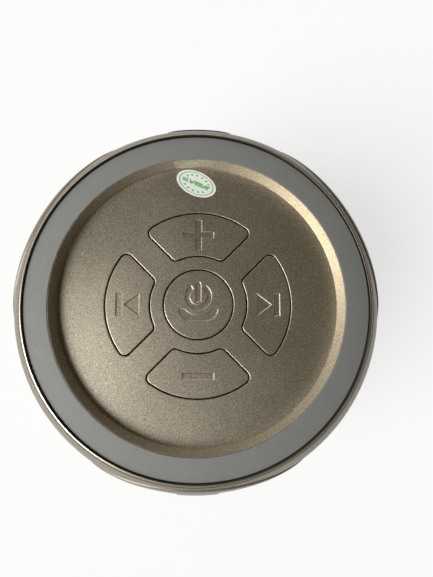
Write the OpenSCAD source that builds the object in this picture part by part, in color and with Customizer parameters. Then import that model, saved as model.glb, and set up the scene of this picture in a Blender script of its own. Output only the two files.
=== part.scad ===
/* [Body] */
// Largest diameter of the barrel-shaped housing
belly_d = 134; // [128:1:146]
// Height of the belly between the shoulder curve and the base curve
belly_h = 56; // [54:1:64]
// Slope of the wall from the vertical where the belly meets those curves
belly_slope = 8; // [6:1:9]
// Radius of the shoulder curve and of the base curve
shoulder_curve = 40; // [38:1:44]
// Height of the shoulder curve, from the belly to the rim
shoulder_h = 18.5; // [16:0.5:20]
// Height of the base curve, from the base to the belly
base_h = 20.2; // [17:0.2:22]
// Wall of the housing
wall = 3.4; // [3:0.1:4]
// Depth of the seats for the grille frames and the port panel
seat_depth = 1.4; // [1.2:0.1:1.6]

/* [Top] */
// Lean of the dish wall, from the floor out to the light ring
dish_draft = 1.4; // [0.8:0.1:2]
// Depth of the dish floor under the inner edge of the light ring
dish_depth = 5; // [4:0.2:6]
// Width of the light ring
light_w = 8.25; // [7.5:0.05:9]
// Fall of the light ring from its inner edge to its outer edge
light_fall = 2; // [1:0.2:2.4]
// Width of the bead between the light ring and the groove
bead_w = 1.05; // [0.9:0.05:1.2]
// Height of the bead over the outer edge of the light ring
bead_rise = 0.7; // [0.4:0.1:1]
// Width of the groove between the bead and the shoulder
groove_w = 0.35; // [0.25:0.05:0.5]
// Depth of the groove
groove_h = 1.2; // [0.8:0.1:1.6]
// Thickness of the dish floor
floor_t = 2.2; // [1.8:0.1:2.4]

/* [Keys] */
// Diameter of the power key
power_d = 23; // [21:0.2:23.4]
// Radius of the hollow inner edge of the side keys
key_in_r = 16.05; // [15.5:0.05:17]
// Radius of the bowed outer edge of the side keys
key_out_r = 26.9; // [25.5:0.1:27.4]
// Centre of that outer edge, out from the middle of the dish
key_out_centre = 3.75; // [3.4:0.05:4]
// Half the width of the bridge between two side keys
bridge_half = 4.4; // [3.8:0.1:5]
// Corner radius at the outer edge of a side key
key_corner_out = 1.9; // [1.5:0.1:2.2]
// Corner radius at the inner edge of a side key
key_corner_in = 1.5; // [1.4:0.1:1.8]
// Gap between a key and the panel
key_gap = 0.35; // [0.3:0.05:0.5]
// Travel of a key
key_travel = 0.5; // [0.3:0.05:0.6]
// Depth of the symbols sunk into the keys
symbol_depth = 0.35; // [0.2:0.05:0.5]

/* [Grilles] */
// Part of the belly's circle that a grille frame spans, in degrees
frame_span = 89; // [84:1:92]
// Height of the shoulder left over a grille frame
frame_over = 2.1; // [1.8:0.1:4]
// Height of the base left under a grille frame
frame_under = 9; // [7:0.5:12]
// Squareness of the grille outline, where 2 is an ellipse
frame_power = 2.3; // [2:0.1:2.8]
// Width of the grille frame
frame_w = 2.6; // [2:0.1:3.2]
// Height of the frame over the housing
frame_proud = 0.5; // [0.3:0.1:0.8]
// Height of the perforated sheet over the housing
grille_proud = 0.2; // [0.1:0.1:0.4]
// Thickness of the perforated sheet
grille_t = 0.8; // [0.6:0.1:0.9]
// Diameter of a hole in the perforated sheet
hole_d = 4.2; // [3.6:0.1:4.6]
// Distance between two holes
hole_pitch = 7.2; // [6.9:0.1:9]

/* [Drivers] */
// Depth under the belly of the face that a driver is screwed to
driver_depth = 14; // [13:0.5:15]
// Diameter of the driver frame
driver_d = 58; // [56:0.5:60]
// Diameter of the opening in front of a driver
driver_bore_d = 47; // [46:0.5:48]
// Diameter of the ring magnet
magnet_d = 36; // [32:0.5:38]
// Height of the ring magnet
magnet_h = 7.5; // [6:0.5:8]
// Diameter of the pole that the voice coil rides over
pole_d = 12; // [11:0.5:13]
// Running gap on each side of the voice coil
coil_gap = 0.35; // [0.3:0.05:0.4]
// Wall of the voice coil
coil_wall = 0.6; // [0.5:0.05:0.7]
// Travel of a cone each way
cone_travel = 1.2; // [0.8:0.1:1.5]

/* [Ports] */
// Width of the port panel
port_panel_w = 24; // [22:0.5:28]
// Height of the port panel
port_panel_h = 66; // [64:0.5:68]
// Height of the port panel's middle over the middle of the belly
port_rise = 4.8; // [3:0.2:5.6]
// Diameter of the audio plug
plug_d = 3.5; // [3.5:0.1:3.5]

/* [Power] */
// Diameter of a battery cell
cell_d = 18.3; // [14:0.1:18.5]
// Length of a battery cell
cell_h = 65; // [50:0.5:66]

/* [Feet] */
// Diameter of a rubber foot
foot_d = 12; // [8:0.5:12.5]
// Height of the base over the table
foot_proud = 2; // [1:0.1:3]
// Thickness of the bottom cover
cover_t = 2.4; // [2:0.1:3]

/* [Hidden] */
$fn = 96;
SIDES = ["front", "right", "left"];
KEYS = ["plus", "minus", "previous", "next", "power"];
SIDE_PARTS = ["grille", "frame", "basket", "magnet", "yoke", "spider", "surround", "voice_coil", "cone"];

// Gap between two pieces that are seated on each other
seat_gap = 0.1;
// Gap between two pieces that move past each other
run_gap = 0.3;
// Reach of a cut past the face that it opens
cut = 3;

// Barrel: a belly curve between a base curve and a shoulder curve, all tangent to each other
belly_r = belly_d / 2;
belly_curve = belly_h / 2 / sin(belly_slope);
belly_centre = belly_r - belly_curve;
shoulder_centre = belly_centre + (belly_curve - shoulder_curve) * cos(belly_slope);
curve_dip = shoulder_curve * sin(belly_slope);
base_angle = asin((base_h + curve_dip) / shoulder_curve);
rim_angle = asin((shoulder_h + curve_dip) / shoulder_curve);
base_z = foot_proud;
mid_z = base_z + base_h + belly_h / 2;
rim_z = mid_z + belly_h / 2 + shoulder_h;
base_centre_z = mid_z - belly_h / 2 + curve_dip;
top_centre_z = mid_z + belly_h / 2 - curve_dip;
base_r = shoulder_centre + shoulder_curve * cos(base_angle);
rim_r = shoulder_centre + shoulder_curve * cos(rim_angle);

// Heights of the top pieces
light_over_rim = 0.5;
light_out_z = rim_z + light_over_rim;
light_in_z = light_out_z + light_fall;
floor_z = light_in_z - dish_depth;
panel_low_z = floor_z - floor_t;
deck_drop = 6;
deck_t = 2.2;
deck_z = floor_z - deck_drop;
deck_low_z = deck_z - deck_t;
bead_top_z = light_out_z + bead_rise;

// Radii of the top pieces
bead_out_r = rim_r - groove_w;
bead_in_r = bead_out_r - bead_w;
light_out_r = bead_in_r - seat_gap;
light_in_r = light_out_r - light_w;
dish_r = light_in_r - dish_draft;
panel_r = light_in_r - seat_gap;
channel_r = bead_out_r + seat_gap;
bead_seat = 0.4;
rim_seat_z = rim_z - groove_h - bead_seat;
panel_lip = 0.2;
skirt_w = 1.9;
screw_boss_r = 2.4;
boss_in_skirt = 0.6;
panel_screw_circle = panel_r - skirt_w - boss_in_skirt;
deck_in_r = panel_screw_circle - screw_boss_r;
light_skin = 2;
light_leg = 1.6;

// Height that the inner skin keeps clear of the deck and of the ledge
skin_step = 0.4;

// Screws
screw_r = 0.95;
screw_hole_r = screw_r + seat_gap;
screw_pilot_r = screw_r + seat_gap / 2;
screw_head_r = 1.9;
screw_head_h = 1.3;
screw_l = 5;
screw_spare = 0.3;
socket_r = 0.8;
socket_h = 0.7;

// Keys, switches and key board
key_flange_h = 1.2;
key_flange_w = 0.8;
key_h = floor_t + run_gap + key_flange_h;
key_skin = 1.4;
key_post_r = 1.5;
key_post_h = 2.2;
plunger_r = 1.75;
plunger_h = 2.2;
plunger_rise = 1;
switch_w = 6;
switch_h = 3.5;
switch_floor = 0.6;
key_board_drop = key_h + key_post_h + plunger_rise + switch_h;
key_board_z = floor_z - key_board_drop;
key_board_t = 1.6;
key_boss_r = 2.6;
key_middle_r = (key_in_r + key_out_centre + key_out_r) / 2;
key_boss_inset = 1;
key_boss_circle = key_middle_r - key_boss_inset;
key_board_edge = 1.5;
key_board_r = key_middle_r + switch_w / 2 + key_board_edge;

// Symbols on the keys
sign_half = 5.2;
sign_w = 2.2;
bar_near = 24.9;
bar_far = 27.1;
bar_half = 3.8;
tip_at = 24.5;
tail_at = 19.4;
lamp_centre = 2.7;
ring_out_r = 4.5;
ring_in_r = 2.8;
ring_open = 33;
stroke_w = 1.9;
stroke_low = 0.9;
stroke_high = 7.6;
handset_out_r = 8;
handset_in_r = 6.1;
handset_top = -1.5;
handset_low = -5.3;

// Depth of what is moulded inside the wall, so that it stays under the seats
inner_depth = seat_depth + 0.6;

// Base and cover
cover_edge = 2.4;
cover_r = base_r - cover_edge;
ledge_w = 2.8;
ledge_t = 2;
ledge_z = base_z + cover_t + seat_gap;
cover_screw_edge = 5.2;
cover_screw_circle = cover_r - cover_screw_edge;
cover_screw_l = 8;
cover_boss_r = 3.2;
cover_boss_h = 12;
foot_sink = 1;
foot_edge = 5.6;
foot_circle = cover_r - foot_d / 2 - foot_edge;
cradle_h = 20;
cell_r = cell_d / 2;
cell_half_gap = 0.25;
cell_x = cell_r + cell_half_gap;
cell_z = ledge_z;
cradle_wall = 1.6;

// Drivers, with local z pointing out of the housing and 0 at the seat
driver_seat_r = belly_r - driver_depth;
driver_drop = 0.2;
driver_z = mid_z - driver_drop;
driver_r = driver_d / 2;
driver_bore_r = driver_bore_d / 2;
gasket_t = 0.8;
flange_t = 1.2;
sheet_t = 1;
flange_z = -gasket_t - flange_t;
driver_screw_circle = (driver_r + driver_bore_r) / 2;
magnet_r = magnet_d / 2;
plate_t = 2.5;
plate_step = 2.5;
plate_r = magnet_r - plate_step;
pole_r = pole_d / 2;
coil_in_r = pole_r + coil_gap;
coil_out_r = coil_in_r + coil_wall;
plate_in_r = coil_out_r + coil_gap;
basket_depth = 10;
plate_z = flange_z - basket_depth - plate_t;
magnet_z = plate_z - magnet_h;
yoke_z = magnet_z - plate_t;
coil_sink = 1.2;
coil_low_z = plate_z - coil_sink;
coil_top_z = -8.2;
roll_r = 1.9;
surround_t = 0.4;
surround_out_r = driver_bore_r - seat_gap;
surround_lip = 1.2;
roll_centre_r = surround_out_r - surround_lip - roll_r;
cone_r = roll_centre_r - roll_r - seat_gap;
cone_t = 0.5;
cone_edge_z = -gasket_t - seat_gap;
neck_overlap = 0.8;
cone_neck_z = coil_top_z - neck_overlap;
cap_over_coil = 2.4;
cap_r = coil_out_r + cap_over_coil;
cap_h = 2.2;

// Ports, all placed from the middle of the port panel
port_panel_z = mid_z + port_rise;
usb_drop = 19;
card_drop = 3;
audio_rise = 10.2;
charge_rise = 19.4;
usb_z = port_panel_z - usb_drop;
card_z = port_panel_z - card_drop;
audio_z = port_panel_z + audio_rise;
charge_z = port_panel_z + charge_rise;
board_t = 1.6;
board_x = -3.6;
board_l = 28.5;
board_depth = 7.5;
board_out_y = belly_r - board_depth;
board_in_y = board_out_y - board_l;
board_under_usb = 10;
board_over_charge = 6.1;
board_low_z = usb_z - board_under_usb;
board_high_z = charge_z + board_over_charge;
rail_w = 1.6;
rail_l = 14;
rail_h = 3.6;
rail_grip = 1.3;
window_w = 17;
window_over_rail = 0.7;
window_under_rail = 0.2;
window_sink = 1;
window_low_z = board_low_z + rail_grip + window_over_rail;
window_high_z = board_high_z - rail_grip - window_under_rail;
window_in_y = board_out_y + window_sink;
port_corner = 6;
port_gap = 0.25;
shell_t = 0.4;
plug_r = plug_d / 2;
audio_r = plug_r + seat_gap / 2;
audio_w = 6.5;
audio_l = 12;
collar_r = 2.9;
usb_w = 14.5;
usb_h = 7;
usb_l = 14;
usb_corner = 0.6;
usb_tongue_w = 11.2;
usb_tongue_h = 1.8;
card_w = 14;
card_h = 2;
card_l = 14;
card_corner = 0.4;
charge_w = 7.8;
charge_h = 3.1;
charge_l = 8.5;
charge_corner = 1.2;
charge_tongue_w = 5.4;
charge_tongue_h = 0.7;

// Status lens and microphone in the tab of the front frame
tab_half = 7;
tab_h = 6;
lens_x = 2;
lens_drop = 3;
lens_r = 0.4;
lens_l = 1.3;
mic_x = -4.9;
mic_drop = 6;
mic_hole_r = 0.45;
mic_r = 1.5;
mic_h = 1;

function side_angle(side) = side == "front" ? 0 : side == "right" ? 120 : 240;
function key_angle(key) = key == "minus" ? 180 : key == "previous" ? 90 : key == "next" ? -90 : 0;

// Points of an arc about [x, y], in degrees from a to b
function arc(x, y, r, a, b, steps) =
    [for (i = [0:steps]) [x + r * cos(a + (b - a) * i / steps), y + r * sin(a + (b - a) * i / steps)]];
// All points but the first; all points back to front; a half outline turned over at the y axis
function tail(points) = [for (i = [1:len(points) - 1]) points[i]];
function reversed(points) = [for (i = [len(points) - 1:-1:0]) points[i]];
function mirrored(points) = [for (i = [len(points) - 1:-1:0]) [-points[i][0], points[i][1]]];

// Side line of the barrel from its base up to its rim, moved inwards by inset
function barrel_line(inset) = concat(
    arc(shoulder_centre, base_centre_z, shoulder_curve - inset, -base_angle, -belly_slope, 6),
    tail(arc(belly_centre, mid_z, belly_curve - inset, -belly_slope, belly_slope, 8)),
    tail(arc(shoulder_centre, top_centre_z, shoulder_curve - inset, belly_slope, rim_angle, 7)));

// Radius of the barrel at height z, moved inwards by inset
function barrel_r(z, inset) =
    abs(z - mid_z) <= (belly_curve - inset) * sin(belly_slope)
        ? belly_centre + sqrt(pow(belly_curve - inset, 2) - pow(z - mid_z, 2))
        : shoulder_centre + sqrt(pow(shoulder_curve - inset, 2)
            - pow(z - (z > mid_z ? top_centre_z : base_centre_z), 2));

// Outline of a side key that lies on +Y: two arcs, two straight sides along the bridges, four round corners
function side_key_line(inset) =
    let (
        out_r = key_out_r - inset,
        in_r = key_in_r + inset,
        corner_a = key_corner_out - inset,
        corner_b = key_corner_in - inset,
        near_a = (bridge_half + key_corner_out) * sqrt(2) - key_out_centre,
        reach_a = key_out_r - key_corner_out,
        xa = (sqrt(2 * reach_a * reach_a - near_a * near_a) - near_a) / 2,
        ya = xa + near_a + key_out_centre,
        near_b = (bridge_half + key_corner_in) * sqrt(2),
        reach_b = key_in_r + key_corner_in,
        xb = (sqrt(2 * reach_b * reach_b - near_b * near_b) - near_b) / 2,
        yb = xb + near_b,
        turn_a = atan2(ya - key_out_centre, xa),
        turn_b = atan2(yb, xb),
        half = concat(
            arc(0, key_out_centre, out_r, 90, turn_a, 8),
            tail(arc(xa, ya, corner_a, turn_a, -45, 6)),
            arc(xb, yb, corner_b, -45, turn_b - 180, 5),
            tail(arc(0, 0, in_r, turn_b, 90, 4)))
    )
    concat(half, mirrored([for (i = [1:len(half) - 2]) half[i]]));

// Outline of a grille seat, seen along its axis, moved inwards by inset
function power_of(v) = sign(v) * pow(abs(v), 2 / frame_power);
function oval_line(inset) = [for (turn = [0:oval_step:360 - oval_step])
    [(frame_a - inset) * power_of(cos(turn)), (frame_b - inset) * power_of(sin(turn))]];
oval_step = 7.5;
frame_a = belly_r * sin(frame_span / 2);
frame_b = (rim_z - frame_over - base_z - frame_under) / 2;
frame_z = rim_z - frame_over - frame_b;
mic_z = frame_z + frame_b - mic_drop;
mic_y = sqrt(pow(barrel_r(mic_z + mic_r, seat_depth), 2) - pow(abs(mic_x) + mic_r, 2)) - seat_gap;
lens_z = frame_z + frame_b - lens_drop;
lens_y = sqrt(pow(barrel_r(lens_z + lens_r, -frame_proud), 2) - pow(abs(lens_x) + lens_r, 2));

// Rectangle with round corners
function round_rect(w, h, r) = concat(
    arc(w / 2 - r, h / 2 - r, r, 0, 90, 5),
    arc(r - w / 2, h / 2 - r, r, 90, 180, 5),
    arc(r - w / 2, r - h / 2, r, 180, 270, 5),
    arc(w / 2 - r, r - h / 2, r, 270, 360, 5));

// Flat ring from z up, by its two radii and its height
module ring(r_out, r_in, z, h) {
    translate([0, 0, z]) difference() {
        cylinder(r = r_out, h = h);
        translate([0, 0, -1]) cylinder(r = r_in, h = h + 2);
    }
}

module around(count, r, first = 0) {
    for (i = [0:count - 1]) rotate([0, 0, first + i * 360 / count]) translate([r, 0, 0]) children();
}

module barrel(inset) {
    line = barrel_line(inset);
    rotate_extrude() polygon(concat([[0, line[0][1]]], line, [[0, line[len(line) - 1][1]]]));
}

// Layer of the housing wall between two depths, cut out by an outline seen along the front axis
module front_layer(outer, inner) {
    intersection() {
        translate([0, -belly_r / 2, 0]) rotate([90, 0, 0]) linear_extrude(belly_r) children();
        difference() {
            barrel(outer);
            barrel(inner);
        }
    }
}

module on_side(side) {
    rotate([0, 0, side_angle(side)]) children();
}

// Puts a piece drawn about local z on the driver axis of a side, with 0 at the seat
module on_driver(side) {
    on_side(side) translate([0, -driver_seat_r, driver_z]) rotate([90, 0, 0]) children();
}

module oval(inset) {
    translate([0, frame_z]) polygon(oval_line(inset));
}

module tab(grow) {
    intersection() {
        oval(0);
        translate([-tab_half - grow, frame_z + frame_b - frame_w - tab_h - grow])
            square([2 * (tab_half + grow), frame_w + tab_h + cut]);
    }
}

module port_outline(grow) {
    translate([0, port_panel_z])
        polygon(round_rect(port_panel_w + 2 * grow, port_panel_h + 2 * grow, port_corner + grow));
}

// Screw with its head below and its shank upwards, from the face that the head bears on
module screw(shank) {
    difference() {
        union() {
            translate([0, 0, -screw_head_h]) cylinder(r = screw_head_r, h = screw_head_h);
            cylinder(r = screw_r, h = shank);
        }
        translate([0, 0, -screw_head_h - 0.01]) cylinder(r = socket_r, h = socket_h, $fn = 6);
    }
}

// Main housing

// Half section: outside line, groove and channel at the rim, deck, inner skin, ledge for the bottom cover
module housing_section() {
    ledge_top = ledge_z + ledge_t;
    skin = [for (p = barrel_line(wall)) if (p[1] > ledge_top + skin_step && p[1] < deck_low_z - skin_step) p];
    polygon(concat(
        barrel_line(0),
        [[rim_r, rim_z - groove_h], [channel_r, rim_z - groove_h], [channel_r, rim_seat_z]],
        [[bead_in_r, rim_seat_z], [bead_in_r, deck_z], [deck_in_r, deck_z], [deck_in_r, deck_low_z]],
        [[barrel_r(deck_low_z, wall), deck_low_z]],
        reversed(skin),
        [[barrel_r(ledge_top, wall), ledge_top], [cover_r - ledge_w, ledge_top]],
        [[cover_r - ledge_w, ledge_z], [cover_r + seat_gap, ledge_z], [cover_r + seat_gap, base_z]]));
}

module board_rail(z, slot_z) {
    difference() {
        translate([board_x - board_t - rail_w, board_out_y - rail_l, z])
            cube([board_t + 2 * rail_w, rail_l + belly_r - board_out_y, rail_h]);
        translate([board_x - board_t - seat_gap, board_out_y - rail_l - 1, slot_z])
            cube([board_t + 2 * seat_gap, rail_l + 1 + seat_gap, rail_h]);
    }
}

module main_housing() {
    color("#b3a68c") difference() {
        union() {
            rotate_extrude() housing_section();
            for (side = SIDES) intersection() {
                barrel(inner_depth);
                on_driver(side) cylinder(r = driver_r, h = belly_r - driver_seat_r);
            }
            intersection() {
                barrel(inner_depth);
                union() {
                    board_rail(board_low_z + rail_grip - rail_h, board_low_z - seat_gap);
                    board_rail(board_high_z - rail_grip, board_high_z + seat_gap - rail_h);
                }
            }
            around(4, cover_screw_circle) translate([0, 0, ledge_z])
                cylinder(r = cover_boss_r, h = cover_boss_h);
        }
        for (side = SIDES) on_side(side) front_layer(-cut, seat_depth) oval(-seat_gap);
        for (side = SIDES) on_driver(side) {
            translate([0, 0, -1]) cylinder(r = driver_bore_r, h = belly_r);
            around(4, driver_screw_circle, 45) translate([0, 0, -1]) cylinder(r = screw_pilot_r, h = screw_l);
        }
        rotate([0, 0, 180]) front_layer(-cut, seat_depth) port_outline(seat_gap);
        translate([-window_w / 2, window_in_y, window_low_z])
            cube([window_w, belly_r, window_high_z - window_low_z]);
        around(4, cover_screw_circle) translate([0, 0, base_z]) cylinder(r = screw_pilot_r, h = cover_boss_h);
        around(4, panel_screw_circle, 45) translate([0, 0, deck_low_z - 1])
            cylinder(r = screw_hole_r, h = deck_t + 2);
        translate([mic_x, -mic_y + mic_h + seat_gap, mic_z])
            rotate([90, 0, 0]) cylinder(r = mic_r + seat_gap, h = mic_h + cut);
    }
}

// Bottom cover with the battery cradle

module cell_places() {
    for (side = [-1, 1]) translate([side * cell_x, 0, 0]) children();
}

module bottom_cover() {
    color("#8f846f") difference() {
        union() {
            translate([0, 0, base_z]) cylinder(r = cover_r, h = cover_t);
            cell_places() translate([0, 0, base_z])
                cylinder(r = cell_r + seat_gap + cradle_wall, h = cover_t + cradle_h);
        }
        cell_places() translate([0, 0, base_z + cover_t]) cylinder(r = cell_r + seat_gap, h = cradle_h + 1);
        around(4, foot_circle, 45) translate([0, 0, base_z - 1])
            cylinder(r = foot_d / 2 + seat_gap, h = foot_sink + 1);
        around(4, cover_screw_circle) translate([0, 0, base_z - 1]) {
            cylinder(r = screw_head_r + seat_gap, h = screw_head_h + 1);
            cylinder(r = screw_hole_r, h = cover_t + 2);
        }
    }
}

module rubber_feet() {
    edge = 0.6;
    foot_r = foot_d / 2;
    top = base_z + foot_sink;
    color("#2b2b2b") around(4, foot_circle, 45) rotate_extrude()
        polygon(concat([[0, 0]], arc(foot_r - edge, edge, edge, -90, 0, 4), [[foot_r, top], [0, top]]));
}

module cover_screws() {
    color("#9a9a9a") around(4, cover_screw_circle)
        translate([0, 0, base_z + screw_head_h]) screw(cover_screw_l);
}

module battery_cells() {
    color("#4f7fb0") cell_places() translate([0, 0, cell_z]) cylinder(r = cell_r, h = cell_h);
}

// Top panel: dish floor with key openings, flared wall, skirt down to the deck, screw bosses

module on_key(key) {
    rotate([0, 0, key_angle(key)]) children();
}

module key_plan(key, inset) {
    if (key == "power") circle(r = power_d / 2 - inset);
    else on_key(key) polygon(side_key_line(inset));
}

module key_spot(key) {
    on_key(key) translate([0, key == "power" ? 0 : key_middle_r, 0]) children();
}

module top_panel() {
    skirt_z = deck_z + seat_gap;
    rim_edge_z = light_in_z - seat_gap / 2;
    color("#b7a98c") difference() {
        union() {
            rotate_extrude() polygon([
                [0, panel_low_z], [panel_r - skirt_w, panel_low_z], [panel_r - skirt_w, skirt_z],
                [panel_r, skirt_z], [panel_r, rim_edge_z], [panel_r - panel_lip, rim_edge_z],
                [dish_r, floor_z], [0, floor_z]]);
            around(4, key_boss_circle, 45) translate([0, 0, key_board_z])
                cylinder(r = key_boss_r, h = panel_low_z - key_board_z + floor_t / 2);
            around(4, panel_screw_circle, 45) translate([0, 0, skirt_z])
                cylinder(r = screw_boss_r, h = panel_low_z - skirt_z + floor_t / 2);
        }
        for (key = KEYS) translate([0, 0, panel_low_z - 1])
            linear_extrude(floor_t + 2) key_plan(key, -key_gap / 2);
        around(4, key_boss_circle, 45) translate([0, 0, key_board_z - 1])
            cylinder(r = screw_pilot_r, h = screw_l + 1);
        around(4, panel_screw_circle, 45) translate([0, 0, skirt_z - 1])
            cylinder(r = screw_pilot_r, h = screw_l - deck_t + screw_spare + 1);
    }
}

// Light ring, its board, and the bead

function light_under(r) =
    light_in_z - light_skin - light_fall * (r - light_in_r) / (light_out_r - light_in_r);

module light_ring() {
    in_leg = light_in_r + light_leg;
    out_leg = light_out_r - light_leg;
    low = deck_z + seat_gap;
    color("#8e8f8c") rotate_extrude() polygon([
        [light_in_r, low], [in_leg, low], [in_leg, light_under(in_leg)], [out_leg, light_under(out_leg)],
        [out_leg, low], [light_out_r, low], [light_out_r, light_out_z], [light_in_r, light_in_z]]);
}

module light_board() {
    r_in = light_in_r + light_leg + run_gap;
    r_out = light_out_r - light_leg - run_gap;
    board_h = 1;
    lamps = 16;
    lamp_l = 3.5;
    lamp_w = 2.8;
    lamp_h = 1.4;
    color("#e6e2d0") union() {
        ring(r_out, r_in, deck_z + seat_gap, board_h);
        around(lamps, (r_in + r_out) / 2, 180 / lamps)
            translate([-lamp_w / 2, -lamp_l / 2, deck_z + seat_gap]) cube([lamp_w, lamp_l, board_h + lamp_h]);
    }
}

module rim_ring() {
    bead_r = bead_w / 2;
    low = rim_seat_z + seat_gap;
    color("#c8b999") rotate_extrude() polygon(concat(
        [[bead_in_r, low], [bead_out_r, low]],
        arc(bead_in_r + bead_r, bead_top_z - bead_r, bead_r, 0, 180, 10)));
}

// Keys

module sign(key) {
    if (key == "plus" || key == "minus")
        translate([0, (key == "plus" ? 1 : -1) * key_middle_r]) {
            square([2 * sign_half, sign_w], center = true);
            if (key == "plus") square([sign_w, 2 * sign_half], center = true);
        }
    if (key == "next") skip_sign();
    if (key == "previous") mirror([1, 0]) skip_sign();
    if (key == "power") power_sign();
}

module skip_sign() {
    polygon([[tail_at, -bar_half], [tip_at, 0], [tail_at, bar_half]]);
    translate([bar_near, -bar_half]) square([bar_far - bar_near, 2 * bar_half]);
}

module power_sign() {
    reach = 2 * ring_out_r;
    translate([-stroke_w / 2, stroke_low]) square([stroke_w, stroke_high - stroke_low]);
    translate([0, lamp_centre]) difference() {
        circle(r = ring_out_r);
        circle(r = ring_in_r);
        polygon([[0, 0], [reach * sin(ring_open), reach * cos(ring_open)],
            [-reach * sin(ring_open), reach * cos(ring_open)]]);
    }
    difference() {
        intersection() {
            translate([0, lamp_centre]) circle(r = handset_out_r);
            translate([-handset_out_r, handset_low])
                square([2 * handset_out_r, handset_top - handset_low]);
        }
        translate([0, lamp_centre]) circle(r = handset_in_r);
    }
}

module key(name) {
    low = floor_z - key_h;
    color("#b9ab8e") difference() {
        union() {
            difference() {
                union() {
                    translate([0, 0, low]) linear_extrude(key_h) key_plan(name, key_gap / 2);
                    translate([0, 0, low]) linear_extrude(key_flange_h)
                        key_plan(name, key_gap / 2 - key_flange_w);
                }
                translate([0, 0, low - 1]) linear_extrude(key_h - key_skin + 1)
                    key_plan(name, key_gap / 2 + key_skin / 2);
            }
            key_spot(name) translate([0, 0, low - key_post_h])
                cylinder(r = key_post_r, h = key_post_h + key_h - key_skin / 2);
        }
        translate([0, 0, floor_z - symbol_depth]) linear_extrude(symbol_depth + 1) sign(name);
    }
}

module plunger(name) {
    color("#303030") key_spot(name)
        translate([0, 0, floor_z - key_h - key_post_h - plunger_h]) cylinder(r = plunger_r, h = plunger_h);
}

module key_switches() {
    color("#1f1f1f") for (name = KEYS) key_spot(name) difference() {
        translate([-switch_w / 2, -switch_w / 2, key_board_z]) cube([switch_w, switch_w, switch_h]);
        translate([0, 0, key_board_z + switch_floor]) cylinder(r = plunger_r + seat_gap, h = switch_h);
    }
}

module key_board() {
    color("#2f6b3c") difference() {
        translate([0, 0, key_board_z - key_board_t]) cylinder(r = key_board_r, h = key_board_t);
        around(4, key_boss_circle, 45) translate([0, 0, key_board_z - key_board_t - 1])
            cylinder(r = screw_hole_r, h = key_board_t + 2);
    }
}

module panel_screws() {
    color("#9a9a9a") {
        around(4, key_boss_circle, 45) translate([0, 0, key_board_z - key_board_t]) screw(screw_l);
        around(4, panel_screw_circle, 45) translate([0, 0, deck_low_z]) screw(screw_l);
    }
}

// Grilles and their frames

grille_in = grille_t - grille_proud;
frame_lip = 1.2;
hole_edge = 2.6;
row_step = hole_pitch * sin(60);

function in_oval(x, z, inset) =
    pow(abs(x) / (frame_a - inset), frame_power) + pow(abs(z) / (frame_b - inset), frame_power) < 1;
function near_tab(x, z, margin) =
    abs(x) < tab_half + margin && z > frame_b - frame_w - tab_h - margin;

module grille_holes(side) {
    inset = frame_w + hole_edge;
    columns = ceil(frame_a / hole_pitch);
    rows = ceil(frame_b / row_step);
    for (j = [-rows:rows]) for (i = [-columns:columns]) {
        x = (i + (j % 2 == 0 ? 0 : 0.5)) * hole_pitch;
        z = j * row_step;
        if (in_oval(x, z, inset) && !(side == "front" && near_tab(x, z, hole_edge)))
            translate([x, -belly_r / 2, frame_z + z]) rotate([90, 0, 0])
                cylinder(r = hole_d / 2, h = belly_r, $fn = 24);
    }
}

module grille(side) {
    color("#6f6a60") on_side(side) difference() {
        front_layer(-grille_proud, grille_in) difference() {
            oval(frame_w + seat_gap);
            if (side == "front") tab(seat_gap);
        }
        grille_holes(side);
    }
}

module frame(side) {
    color("#a89c84") on_side(side) difference() {
        union() {
            front_layer(-frame_proud, seat_depth - seat_gap) {
                difference() {
                    oval(0);
                    oval(frame_w);
                }
                if (side == "front") tab(0);
            }
            front_layer(grille_in + seat_gap, seat_depth - seat_gap) difference() {
                oval(frame_w / 2);
                oval(frame_w + frame_lip);
            }
        }
        if (side == "front") {
            translate([lens_x, 0, lens_z]) rotate([90, 0, 0])
                cylinder(r = lens_r + seat_gap / 2, h = belly_r);
            translate([mic_x, 0, mic_z]) rotate([90, 0, 0]) cylinder(r = mic_hole_r, h = belly_r);
        }
    }
}

module microphone() {
    color("#3a3a3a") translate([mic_x, -mic_y + mic_h, mic_z]) rotate([90, 0, 0])
        cylinder(r = mic_r, h = mic_h);
}

module status_lens() {
    color("#d8e4ff") translate([lens_x, lens_l - lens_y, lens_z]) rotate([90, 0, 0])
        cylinder(r = lens_r, h = lens_l);
}

// Drivers, drawn about local z

module driver_gasket() {
    difference() {
        ring(driver_r, driver_bore_r, -gasket_t, gasket_t);
        around(4, driver_screw_circle, 45) translate([0, 0, -gasket_t - 1])
            cylinder(r = screw_hole_r, h = gasket_t + 2);
    }
}

module driver_gaskets() {
    color("#222222") for (side = SIDES) on_driver(side) driver_gasket();
}

module driver_screws() {
    color("#9a9a9a") for (side = SIDES) on_driver(side)
        around(4, driver_screw_circle, 45) translate([0, 0, flange_z]) screw(screw_l);
}

spider_ledge_w = 1.5;
spider_t = 0.4;
basket_floor_z = flange_z - basket_depth + sheet_t;
spider_ledge_h = 0.4;
spider_ledge_z = basket_floor_z + spider_ledge_h;
spider_z = spider_ledge_z + seat_gap;

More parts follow.
